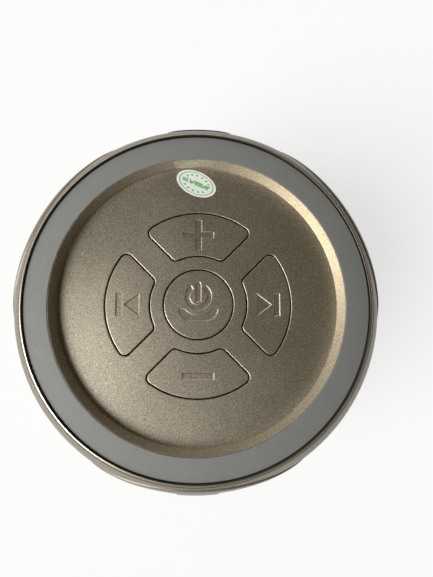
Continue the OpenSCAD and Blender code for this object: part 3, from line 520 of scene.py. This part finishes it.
def inner_line(inset, tab):
    """Right half of a frame's opening, from its lowest point up: the oval, and where there is a tab, down its side
    and along its foot to the middle. Beside it, the matching half of the frame's outer edge as angles."""
    side = TAB_HALF + inset - FRAME_W
    foot = SEAT_B - FRAME_W - TAB_H - (inset - FRAME_W)
    top = np.arccos((side / (SEAT_A - inset)) ** (SEAT_POWER / 2)) if tab else pi / 2
    t = np.linspace(-pi / 2, top, 120)
    line = seat_line(inset, t)
    if not tab:
        return line, t
    u = np.linspace(0, 1, 9)
    start, corner, end = side + 1j * (foot + TAB_ROUND), side + 1j * foot, side - TAB_ROUND + 1j * foot
    down = line[-1] * (1 - u[1:-1]) + start * u[1:-1]
    bend = (1 - u) ** 2 * start + 2 * u * (1 - u) * corner + u ** 2 * end
    inwards = end * (1 - u[1:]) + 1j * foot * u[1:]
    outer_t = np.concatenate([t, np.linspace(top, pi / 2, len(down) + len(bend) + len(inwards) + 1)[1:]])
    return np.concatenate([line, down, bend, inwards]), outer_t


def both_halves(half):
    """The right half of an outline and its mirror image across the middle, as one."""
    return np.concatenate([half, -np.conj(half[::-1])[1:]])


def frame_rows(turn, tab):
    """Rows of a frame's surface, each once round: up its outer wall, over a rounded edge, across its face, over
    the inner edge, down to the lip, out along the lip and back underneath."""
    t = inner_line(FRAME_W, tab)[1]

    def outer(inset, out):
        return both_halves(seat_line(inset, t)), out

    def inner(inset, out):
        return both_halves(inner_line(inset, tab)[0]), out

    bend = [(1 - cos(a), sin(a)) for a in np.linspace(0, pi / 2, 6)]
    rows = [outer(0, SEAT_GAP - SEAT_DEPTH)]
    rows += [outer(FRAME_EDGE * across, FRAME_OUT - FRAME_EDGE + FRAME_EDGE * up) for across, up in bend]
    last, first = rows[-1][0], inner(FRAME_W - FRAME_EDGE, 0)[0]
    rows += [(last * (1 - u) + first * u, FRAME_OUT) for u in np.linspace(0.16, 0.84, 5)]
    rows += [inner(FRAME_W - FRAME_EDGE * across, FRAME_OUT - FRAME_EDGE + FRAME_EDGE * up)
             for across, up in bend[::-1]]
    rows += [inner(FRAME_W, LIP_OUT), inner(FRAME_W + FRAME_LIP, LIP_OUT),
             inner(FRAME_W + FRAME_LIP, SEAT_GAP - SEAT_DEPTH)]
    rows += rows[:1]
    return np.stack([on_drum(line.real, line.imag + SEAT_Z, radians(turn), out) for line, out in rows])


def drilled(piece, places, radius):
    """Holes through the front of a piece, at (x, z), cut with round bars 20 mm long that lie along Y."""
    for x, z in places:
        bar = bmesh.new()
        lying = Matrix.Translation(Vector((x, -62, z)) * MM) @ Matrix.Rotation(pi / 2, 4, "X")
        bmesh.ops.create_cone(bar, cap_ends=True, segments=24, radius1=radius * MM, radius2=radius * MM,
                              depth=20 * MM, matrix=lying)
        mesh = bpy.data.meshes.new("bar")
        bar.to_mesh(mesh)
        bar.free()
        cutter = bpy.data.objects.new("bar", mesh)
        bpy.context.scene.collection.objects.link(cutter)
        cut = piece.modifiers.new("hole", "BOOLEAN")
        cut.operation, cut.solver, cut.object = "DIFFERENCE", "EXACT", cutter
        with_hole = piece.evaluated_get(bpy.context.evaluated_depsgraph_get())
        drilled_mesh = bpy.data.meshes.new_from_object(with_hole)
        piece.modifiers.remove(cut)
        piece.data = drilled_mesh
        bpy.data.objects.remove(cutter)


frame_paint = satin_paint("frame_paint", SHADED_CHAMPAGNE, 0.5, 0.38, 1.2, 0.3)
for side, turn in FACINGS.items():
    ring = Shell()
    ring.grid(frame_rows(turn, side == "front"))
    ring_piece = ring.piece(f"grille_frame_{side}", "housing", "frame_paint", frame_paint, [f"frame_{side}"])
    if side == "front":
        drilled(ring_piece, [(x, RIM_Z - SEAT_DROP - down) for x, down in TAB_HOLES], TAB_HOLE_R)

# Grilles
# Thin steel sheets, etched with a close pattern of six-sided holes 1.2 mm apart and pressed to the belly's curve,
# with a plain border that lies on the frame's lip. Painted dark champagne.
MESH_PITCH, HOLE_R, MESH_CLEAR = 1.2, 0.42, 1.0
SHEET_OUT, SHEET_T = 0.2, 0.8
BORDER_W, BORDER_ROUND = 1.5, 0.12
BORDER_IN, BORDER_SIDE, BORDER_OUT = -0.62, 0.2, 0.26


def perforated(turn, tab):
    """Honeycomb sheet: six-sided cells, each with a six-sided hole, laid out along the belly's curve and joined
    where they meet, on a front and a back face; the walls of the holes and of the outer edge join both."""
    reach = MESH_PITCH / sqrt(3)
    rows = int(SEAT_B / (reach * 1.5)) + 1
    columns = int(SEAT_A * 1.2 / MESH_PITCH) + 1
    j, i = np.mgrid[-rows:rows + 1, -columns:columns + 1]
    u = ((i + (j % 2) / 2) * MESH_PITCH).ravel()
    z = (j * reach * 1.5).ravel()
    x = drum_radius(z + SEAT_Z) * np.sin(u / BELLY_R)
    margin = FRAME_W + MESH_CLEAR
    keep = (np.abs(x) / (SEAT_A - margin)) ** SEAT_POWER + (np.abs(z) / (SEAT_B - margin)) ** SEAT_POWER < 1
    if tab:
        keep &= (np.abs(x) > TAB_HALF + MESH_CLEAR) | (z < SEAT_B - margin - TAB_H)
    centre = (u + 1j * z)[keep][:, None]
    corner = np.exp(1j * np.radians(30 + 60 * np.arange(6)))
    keys = np.round((centre + reach * corner).ravel(), 4)
    outer, number = np.unique(keys, return_inverse=True)
    number = number.reshape(-1, 6)
    inner = (centre + HOLE_R * corner).ravel()
    flat = np.concatenate([outer, inner])
    inner_number = len(outer) + np.arange(inner.size).reshape(-1, 6)
    following, inner_following = np.roll(number, -1, 1), np.roll(inner_number, -1, 1)
    total = len(flat)
    front = np.stack([number, following, inner_following, inner_number], -1).reshape(-1, 4)
    hole_wall = np.stack([inner_number, inner_following, inner_following + total, inner_number + total], -1)
    sides = np.stack([number, following], -1).reshape(-1, 2)
    same, first, count = np.unique(np.sort(sides, 1), axis=0, return_index=True, return_counts=True)
    rim = sides[first[count == 1]]
    rim_wall = np.stack([rim[:, 1], rim[:, 0], rim[:, 0] + total, rim[:, 1] + total], -1)
    faces = np.concatenate([front, front[:, ::-1] + total, hole_wall.reshape(-1, 4), rim_wall])
    points = []
    for out in (SHEET_OUT, SHEET_OUT - SHEET_T):
        height = flat.imag + SEAT_Z
        points.append(turned(drum_radius(height, out), height, radians(turn) + flat.real / BELLY_R))
    return np.concatenate(points), faces


def border_rows(turn, tab):
    """Rows of the sheet's plain border: a thin band just inside the frame, a little thicker than the sheet."""
    near, far = FRAME_W + SEAT_GAP, FRAME_W + BORDER_W
    section = [(near, BORDER_IN), (near, BORDER_SIDE), (near + BORDER_ROUND, BORDER_OUT),
               (far - BORDER_ROUND, BORDER_OUT), (far, BORDER_SIDE), (far, BORDER_IN), (near, BORDER_IN)]
    rows = [(both_halves(inner_line(inset, tab)[0]), out) for inset, out in section]
    return np.stack([on_drum(line.real, line.imag + SEAT_Z, radians(turn), out) for line, out in rows])


grille_paint = satin_paint("grille_steel", (0.25, 0.222, 0.172), 0.3, 0.34, 1.2, 0.4)
for side, turn in FACINGS.items():
    sheet = Shell()
    sheet.take(*perforated(turn, side == "front"))
    sheet.grid(border_rows(turn, side == "front"))
    sheet.piece(f"grille_sheet_{side}", "housing", "grille_steel", grille_paint, [f"grille_{side}"])

# Keycaps
# Five moulded caps, painted with the panel: a round one and four about it that share its rings. Each has a rounded
# edge, a flange that holds it under the panel, and a symbol sunk into its top.
KEYS = ["plus", "minus", "previous", "next", "power"]
KEY_GAP, KEY_EDGE, KEY_RIM = 0.44, 0.22, 0.25
KEY_H, FLANGE_H, FLANGE_W, KEY_SKIN = 3.7, 1.2, 0.8, 1.4
POWER_R = 11.5
KEY_IN_R, KEY_OUT_R, KEY_OUT_CENTRE, BRIDGE = 16.05, 26.9, 3.75, 4.4
CORNER_OUT, CORNER_IN = 2.2, 2.2
KEY_MIDDLE = (KEY_IN_R + KEY_OUT_CENTRE + KEY_OUT_R) / 2
SYMBOL_DEPTH, SYMBOL_RIM = 0.4, 0.12
SYMBOL_STEPS = [(SYMBOL_RIM, 0), (0.05, 0), (0.01, 0.02), (-0.22, SYMBOL_DEPTH - 0.04), (-0.27, SYMBOL_DEPTH)]
KEY_TURNS = {"plus": 0, "previous": 90, "minus": 180, "next": -90}


def arc(centre, radius, first, last, steps):
    """Points on a circle, from a first to a last angle in degrees."""
    return centre + radius * np.exp(1j * np.radians(np.linspace(first, last, steps + 1)))


def side_key(inset):
    """Outline of the key on +Y: bowed outer edge, hollow inner edge, sides along the bridges, round corners."""
    def corner(centre_y, reach, off):
        """Centre of a corner's circle, at reach from (0, centre_y) and at off from the diagonal y = x."""
        near = off * sqrt(2) - centre_y
        x = (sqrt(2 * reach ** 2 - near ** 2) - near) / 2
        return complex(x, x + near + centre_y)

    outer = corner(KEY_OUT_CENTRE, KEY_OUT_R - CORNER_OUT, BRIDGE + CORNER_OUT)
    inner = corner(0, KEY_IN_R + CORNER_IN, BRIDGE + CORNER_IN)
    turn_out = np.degrees(np.angle(outer - 1j * KEY_OUT_CENTRE))
    turn_in = np.degrees(np.angle(inner))
    half = np.concatenate([
        arc(1j * KEY_OUT_CENTRE, KEY_OUT_R - inset, 90, turn_out, 20),
        arc(outer, CORNER_OUT - inset, turn_out, -45, 10)[1:],
        arc(inner, CORNER_IN - inset, -45, turn_in - 180, 10),
        arc(0, KEY_IN_R + inset, turn_in, 90, 12)[1:]])
    return np.concatenate([half, -np.conj(half[-2:0:-1])])


def key_line(name, inset):
    """Outline of a key, moved inwards: a circle, or the side key turned to its place."""
    if name == "power":
        return arc(0, POWER_R - inset, 0, 360, 120)[:-1]
    return side_key(inset) * np.exp(1j * radians(KEY_TURNS[name]))


def grown(outline, distance):
    """Outline moved outwards: each corner goes along the middle of its two sides' normals, over their cosine."""
    step = np.roll(outline, -1) - outline
    normal = -1j * step / np.abs(step)
    before = np.roll(normal, 1)
    area = np.sum(outline.real * np.roll(outline, -1).imag - outline.imag * np.roll(outline, -1).real)
    return outline + np.sign(area) * distance * (before + normal) / (1 + (before * np.conj(normal)).real)


def bar_line(left, right, half_h):
    """Rectangle from left to right, as high above the X axis as below it."""
    return np.array([left - 1j * half_h, right - 1j * half_h, right + 1j * half_h, left + 1j * half_h])


def symbols(name):
    """Outlines of a key's symbol: a cross, a bar, a triangle before a bar, or a power mark over a bowl."""
    half, bar = 5.2, 1.1
    if name == "plus":
        arm = np.array([bar + 1j * bar, bar + 1j * half, -bar + 1j * half])
        return [np.concatenate([arm * 1j ** quarter for quarter in range(4)]) + 1j * KEY_MIDDLE]
    if name == "minus":
        return [bar_line(-half, half, bar) - 1j * KEY_MIDDLE]
    if name in ("next", "previous"):
        skip = [np.array([19.4 - 3.8j, 24.45, 19.4 + 3.8j]), bar_line(24.95, 27.1, 3.8)]
        return skip if name == "next" else [-np.conj(line[::-1]) for line in skip]
    lamp = 2.7j
    stroke = np.concatenate([[-0.95 + 0.9j, 0.95 + 0.9j], arc(6.65j, 0.95, 0, 180, 12)])
    ring = np.concatenate([arc(lamp, 4.5, 57, -237, 60), arc(lamp, 2.8, -237, 57, 60)])
    side = np.concatenate([[-6.65 - 1.35j], arc(-2.6 - 1.4j, 4.0, 188, 268, 10)])
    bowl = np.concatenate([arc(lamp, 6.1, -42, -138, 24), side, -np.conj(side[::-1])])
    return [stroke, ring, bowl]


def rounded_edge(side):
    """Insets and heights from the level top over a quarter round into the gap: side is 1 for a key, -1 for its
    opening."""
    bend = [(1 - sin(a), 1 - cos(a)) for a in np.linspace(0, pi / 2, 7)]
    return [(side * (KEY_GAP / 2 + KEY_EDGE + KEY_RIM), FLOOR_Z)] + [
        (side * (KEY_GAP / 2 + KEY_EDGE * across), FLOOR_Z - KEY_EDGE * down) for across, down in bend]


key_paint = satin_paint("key_paint", CHAMPAGNE, 1.0, 0.395, 2.0, dish=True)
half_gap, low = KEY_GAP / 2, FLOOR_Z - KEY_H
sides = rounded_edge(1) + [
    (half_gap, low + FLANGE_H), (half_gap - FLANGE_W, low + FLANGE_H), (half_gap - FLANGE_W, low),
    (half_gap + KEY_SKIN / 2, low), (half_gap + KEY_SKIN / 2, FLOOR_Z - KEY_SKIN)]
for name in KEYS:
    cap = Shell()
    cap.sweep([key_line(name, inset) for inset, z in sides], [z for inset, z in sides])
    cap.fill([key_line(name, sides[-1][0])], sides[-1][1])
    marks = symbols(name)
    cap.fill([key_line(name, sides[0][0])] + [grown(mark, SYMBOL_RIM) for mark in marks], FLOOR_Z)
    for mark in marks:
        cap.sweep([grown(mark, out) for out, down in SYMBOL_STEPS], [FLOOR_Z - down for out, down in SYMBOL_STEPS])
        cap.fill([grown(mark, SYMBOL_STEPS[-1][0])], FLOOR_Z - SYMBOL_DEPTH)
    cap.piece(f"keycap_{name}", f"{name}_key", "key_paint", key_paint, [f"key_{name}"])

# Top panel
# The dish: a flat floor with five openings whose edges are rounded over, a steep flared wall up to the light ring,
# and a skirt that stands on the deck. Moulded, with a grainy satin champagne paint.
DISH_R, PANEL_R, PANEL_T = 46.23, 47.53, 2.2
LIGHT_IN_Z = FLOOR_Z + 5.0
FLAT_R, SKIRT_W = DISH_R - 3, 1.9

panel = Shell()
wall_profile = rounded([
    (FLAT_R, FLOOR_Z, 0), (DISH_R, FLOOR_Z, 0.12), (PANEL_R - 0.1, LIGHT_IN_Z - 0.05, 0.08),
    (PANEL_R, LIGHT_IN_Z - 0.15, 0.06), (PANEL_R, DECK_Z + 0.1, 0.1), (PANEL_R - SKIRT_W, DECK_Z + 0.1, 0.1),
    (PANEL_R - SKIRT_W, FLOOR_Z - PANEL_T, 0)], 6)
panel.revolve(wall_profile)
lips = rounded_edge(-1) + [(-KEY_GAP / 2, FLOOR_Z - PANEL_T)]
for name in KEYS:
    panel.sweep([key_line(name, inset) for inset, z in lips], [z for inset, z in lips])
turns = np.radians(np.linspace(-60, 300, COLUMNS + 1))[:-1]
for radius, lip, z in [(FLAT_R, lips[0], FLOOR_Z), (PANEL_R - SKIRT_W, lips[-1], FLOOR_Z - PANEL_T)]:
    panel.fill([radius * np.exp(1j * (turns - pi / 2))] + [key_line(name, lip[0]) for name in KEYS], z)
panel_paint = satin_paint("panel_paint", CHAMPAGNE, 1.0, 0.40, 2.0, dish=True)
panel.piece("dish_panel", "housing", "panel_paint", panel_paint, ["top_panel"])

# Light ring
# A milky, slightly conical ring moulded in clear plastic with white filler, which the lamps below light up when the
# speaker is on. It stands on the deck on two legs. Off, it is a soft grey with faint flow marks and dark specks.
LIGHT_IN, LIGHT_OUT, LIGHT_OUT_Z = 47.63, 55.88, RIM_Z + 0.5
LIGHT_SKIN, LIGHT_LEG = 2.0, 1.6

light = Shell()
slope = (LIGHT_OUT_Z - LIGHT_IN_Z) / (LIGHT_OUT - LIGHT_IN)
light.revolve(closed(rounded([
    (LIGHT_IN, DECK_Z + 0.1, 0.1), (LIGHT_IN + LIGHT_LEG, DECK_Z + 0.1, 0.1),
    (LIGHT_IN + LIGHT_LEG, LIGHT_IN_Z - LIGHT_SKIN + slope * LIGHT_LEG, 0.1),
    (LIGHT_OUT - LIGHT_LEG, LIGHT_OUT_Z - LIGHT_SKIN - slope * LIGHT_LEG, 0.1),
    (LIGHT_OUT - LIGHT_LEG, DECK_Z + 0.1, 0.1), (LIGHT_OUT, DECK_Z + 0.1, 0.1),
    (LIGHT_OUT, LIGHT_OUT_Z, 0.35), (LIGHT_IN, LIGHT_IN_Z, 0.35)], 6)), 360)


def milky_plastic():
    """Grey translucent plastic: cloudy flow marks, small dark specks, a fine haze in its gloss."""
    milk = Finish("light_diffuser", specular_ior_level=0.25)
    cloud = milk.noise(160, 3.0)
    haze = milk.noise(1400, 2.0)
    speck = milk.flakes(1500, 0.005)
    tone = cloud * 0.5 + haze * 0.4 + 0.05
    grey = milk.mix((0.185, 0.187, 0.178, 1), (0.235, 0.237, 0.226, 1), tone)
    return milk.done(
        base_color=milk.mix(grey, (0.12, 0.12, 0.11, 1), speck * 0.35),
        roughness=0.5 + haze * 0.15,
        normal=milk.bump(haze, 0.00002))


light.piece("glow_ring", "housing", "light_diffuser", milky_plastic(), ["light_ring"])

# Bead
# A thin moulded ring with a rounded top, pressed into its channel between the light ring and the shoulder. It is
# lacquered in a lighter, glossier champagne than the rest, and its inner flank is painted dark brown as painted
# shade.
BEAD_TOP = LIGHT_OUT_Z + 0.7
bead_r = (BEAD_OUT - BEAD_IN) / 2
bead_low = RIM_Z - GROOVE_H - BEAD_SEAT + SEAT_GAP
bead = Shell()
bend = arc(0, bead_r, 0, 180, 16)
bead_section = np.concatenate([
    [BEAD_IN + 1j * bead_low, BEAD_OUT + 1j * bead_low],
    BEAD_IN + 0.6 * bead_r + np.where(bend.real > 0, 1.4, 0.6) * bend.real + 1j * (BEAD_TOP - bead_r + bend.imag)])
bead.revolve(closed(bead_section), 360)
bead_paint = satin_paint("bead_paint", (0.45, 0.40, 0.315), 0.9, 0.3, 0.5, painted_shade_radius=BEAD_IN + 0.65 * bead_r)
bead.piece("rim_bead", "housing", "bead_paint", bead_paint, ["rim_ring"])

# Test label
# A small oval paper label with a plain printed pattern, stuck to the dish floor between the plus key and the wall.
LABEL_AT, LABEL_TILT = complex(-0.85, 40.95), radians(-24.5)
LABEL_A, LABEL_B, LABEL_T = 7.05, 4.15, 0.12


def label_print():
    """White paper with a green oval line, a green scrawl across the middle and dots around it. The pattern reads
    positions on the label: its own length u and width v, and their distance e from the oval's centre."""
    paper = Finish("label_paper", roughness=0.55)
    local = paper.node("ShaderNodeMapping", {"vector_type": "TEXTURE"}, {
        "Vector": paper.place(), "Location": (LABEL_AT.real * MM, LABEL_AT.imag * MM, 0),
        "Rotation": (0, 0, LABEL_TILT), "Scale": (MM, MM, MM)})
    u, v = paper.axes(local)[:2]
    e = ((u / LABEL_A) ** 2.0 + (v / LABEL_B) ** 2.0) ** 0.5

    def between(value, low, high):
        return (value > low) * (value < high)

    line = between(e, 0.82, 0.875)
    scrawl = (paper.noise(1500, 1.0) > 0.47) * between(v, -0.72, 0.72) * between(u, -4.9, 4.9)
    turn = paper.maths("ARCTAN2", v / LABEL_B, u / LABEL_A) * (15 / (2 * pi)) + 20
    dots = between(e, 0.56, 0.70) * (paper.maths("FRACT", turn, 0) < 0.4) * (paper.maths("ABSOLUTE", v, 0) > 1.1)
    ink = paper.maths("MINIMUM", line + scrawl + dots, 1.0)
    fibre = paper.noise(900, 3.0)
    white = paper.mix((0.72, 0.74, 0.70, 1), (0.86, 0.87, 0.84, 1), fibre)
    return paper.done(
        base_color=paper.mix(white, (0.09, 0.40, 0.11, 1), ink * 0.9),
        normal=paper.bump(fibre, 0.00002))


label = Shell()
unit_oval = arc(0, 1, 0, 360, 96)[:-1]


def label_line(inset):
    """Outline of the label: an oval, moved inwards, tilted and set in its place."""
    flat = (LABEL_A - inset) * unit_oval.real + 1j * (LABEL_B - inset) * unit_oval.imag
    return LABEL_AT + flat * np.exp(1j * LABEL_TILT)


label_steps = [(0, 0.005), (0, LABEL_T - 0.03), (0.03, LABEL_T)]
label.sweep([label_line(inset) for inset, up in label_steps], [FLOOR_Z + up for inset, up in label_steps])
label.fill([label_line(label_steps[0][0])], FLOOR_Z + label_steps[0][1])
label.fill([label_line(label_steps[-1][0])], FLOOR_Z + label_steps[-1][1])
label.piece("oval_label", "housing", "panel_paint", label_print())

# Base, feet and port panel
# The cover and the port panel are moulded in dark plastic, the feet are soft rubber, the sockets are tinned sheet
# and black plastic. The cover's and the panel's screws are zinc plated.


def moulded(name, colour, roughness, texture, depth=0.00002):
    """Moulded or sprayed surface: a fine eroded grain in its gloss and height, with a slow change of tone."""
    skin = Finish(name)
    grain = skin.noise(texture, 3.0)
    drift = skin.noise(60, 2.0)
    tone = grain * 0.5 + drift * 0.5
    return skin.done(
        base_color=skin.mix(shade(colour, 0.78), shade(colour, 1.22), tone),
        roughness=roughness + (grain - 0.5) * 0.25,
        normal=skin.bump(grain, depth))


def worn_metal(name, colour, roughness, stretch):
    """Metal with fine lines along one direction: noise that is squeezed across it, and small spots of tarnish."""
    metal = Finish(name, metallic=1.0)
    squeezed = metal.node("ShaderNodeMapping", {}, {"Vector": metal.place(), "Scale": stretch})
    lines = metal.noise(900, 2.0, squeezed)
    spots = metal.noise(500, 3.0)
    return metal.done(
        base_color=metal.mix(shade(colour, 0.7), shade(colour, 1.15), lines * 0.6 + spots * 0.4),
        roughness=roughness + (lines - 0.5) * 0.3,
        normal=metal.bump(lines, 0.00001))


def dress(finish, *names):
    """Gives CAD nodes their finish."""
    for name in names:
        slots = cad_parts[name].data.materials
        slots.clear()
        slots.append(finish)


SIDES = list(FACINGS)
zinc = worn_metal("zinc_screws", (0.60, 0.61, 0.62), 0.34, (1, 1, 6))
tin = worn_metal("socket_tin", (0.66, 0.67, 0.68), 0.30, (6, 1, 1))
rubber = moulded("rubber", (0.022, 0.022, 0.023), 0.75, 1800, depth=0.00004)
dress(moulded("base_plastic", (0.16, 0.145, 0.12), 0.55, 1600), "bottom_cover")
dress(rubber, "rubber_feet", "driver_gaskets", *[f"surround_{side}" for side in SIDES])
dress(zinc, "cover_screws", "panel_screws", "driver_screws")
dress(moulded("port_plastic", (0.085, 0.083, 0.08), 0.42, 1500), "port_panel")
dress(tin, "usb_socket", "card_socket", "charging_socket", "microphone")
dress(moulded("socket_plastic", (0.02, 0.02, 0.021), 0.5, 2000), "audio_socket")

# Drivers
# Three wide-range drivers: a pressed steel basket with a ferrite ring and a plated yoke, a black paper cone with
# its cap, a rolled rubber surround, and a cloth spider in waves that carries the coil.


def pulp():
    """Pressed paper pulp: short fibres in its colour and its height."""
    paper = Finish("cone_paper", roughness=0.82)
    fibres = paper.noise(1500, 6.0)
    clumps = paper.noise(300, 2.0)
    return paper.done(
        base_color=paper.mix((0.010, 0.010, 0.011, 1), (0.035, 0.034, 0.033, 1), fibres * 0.7 + clumps * 0.3),
        normal=paper.bump(fibres, 0.00008))


def woven(name, colour, pitch):
    """Plain weave: two sets of waves along X and Y multiplied, on a resin-stained cloth."""
    cloth = Finish(name, roughness=0.8)
    x, y, z = cloth.axes()
    turn = 2 * pi / pitch
    threads = cloth.maths("SINE", (x + y) * turn, 0) * cloth.maths("SINE", (z + x - y) * turn, 0)
    stain = cloth.noise(180, 3.0)
    return cloth.done(
        base_color=cloth.mix(shade(colour, 0.6), shade(colour, 1.25), threads * 0.25 + stain * 0.5 + 0.25),
        normal=cloth.bump(threads, 0.00006))


dress(pulp(), *[f"cone_{side}" for side in SIDES])
dress(moulded("black_steel", (0.022, 0.022, 0.023), 0.4, 1200), *[f"basket_{side}" for side in SIDES])
dress(moulded("ferrite", (0.05, 0.05, 0.053), 0.6, 2400, depth=0.00005), *[f"magnet_{side}" for side in SIDES])
dress(worn_metal("plated_steel", (0.50, 0.51, 0.53), 0.32, (1, 1, 5)), *[f"yoke_{side}" for side in SIDES])
dress(woven("spider_cloth", (0.50, 0.33, 0.12), 0.0006), *[f"spider_{side}" for side in SIDES])
dress(worn_metal("coil_copper", (0.72, 0.34, 0.16), 0.3, (1, 1, 1)), *[f"voice_coil_{side}" for side in SIDES])

# Boards, switches and cells
# Green boards with their parts, a white board under the light ring, black tact switches with their plungers, two
# cells in a shrunk film, and a clear light guide in the tab.


def solder_mask(name, colour, track):
    """Lacquered board: raised tracks under the lacquer from thresholded noise, with a glossy coat."""
    board = Finish(name, roughness=0.35, coat_weight=0.4)
    tracks = board.noise(420, 0.0)
    weave = board.noise(2200, 1.0)
    on_track = (tracks > 0.5) * (tracks < 0.56)
    base = board.mix(shade(colour, 0.85), shade(colour, 1.15), weave)
    return board.done(
        base_color=board.mix(base, shade(track, 1.0), on_track * 0.7),
        normal=board.bump(on_track, 0.00003))


def clear_guide():
    """Clear moulded plastic with a faint haze in its tint."""
    guide = Finish("clear_lens", transmission_weight=0.7, roughness=0.1)
    haze = guide.noise(900, 2.0)
    return guide.done(base_color=guide.mix((0.75, 0.83, 0.95, 1), (0.90, 0.94, 1.0, 1), haze))


dress(solder_mask("green_board", (0.02, 0.13, 0.05), (0.06, 0.26, 0.11)), "main_board", "key_board")
dress(solder_mask("white_board", (0.72, 0.72, 0.66), (0.55, 0.56, 0.50)), "light_board")
dress(moulded("switch_plastic", (0.02, 0.02, 0.02), 0.5, 1800), "key_switches", *[f"plunger_{key}" for key in KEYS])
dress(moulded("cell_wrap", (0.04, 0.16, 0.38), 0.3, 700, depth=0.00001), "battery_cells")
dress(clear_guide(), "status_lens")
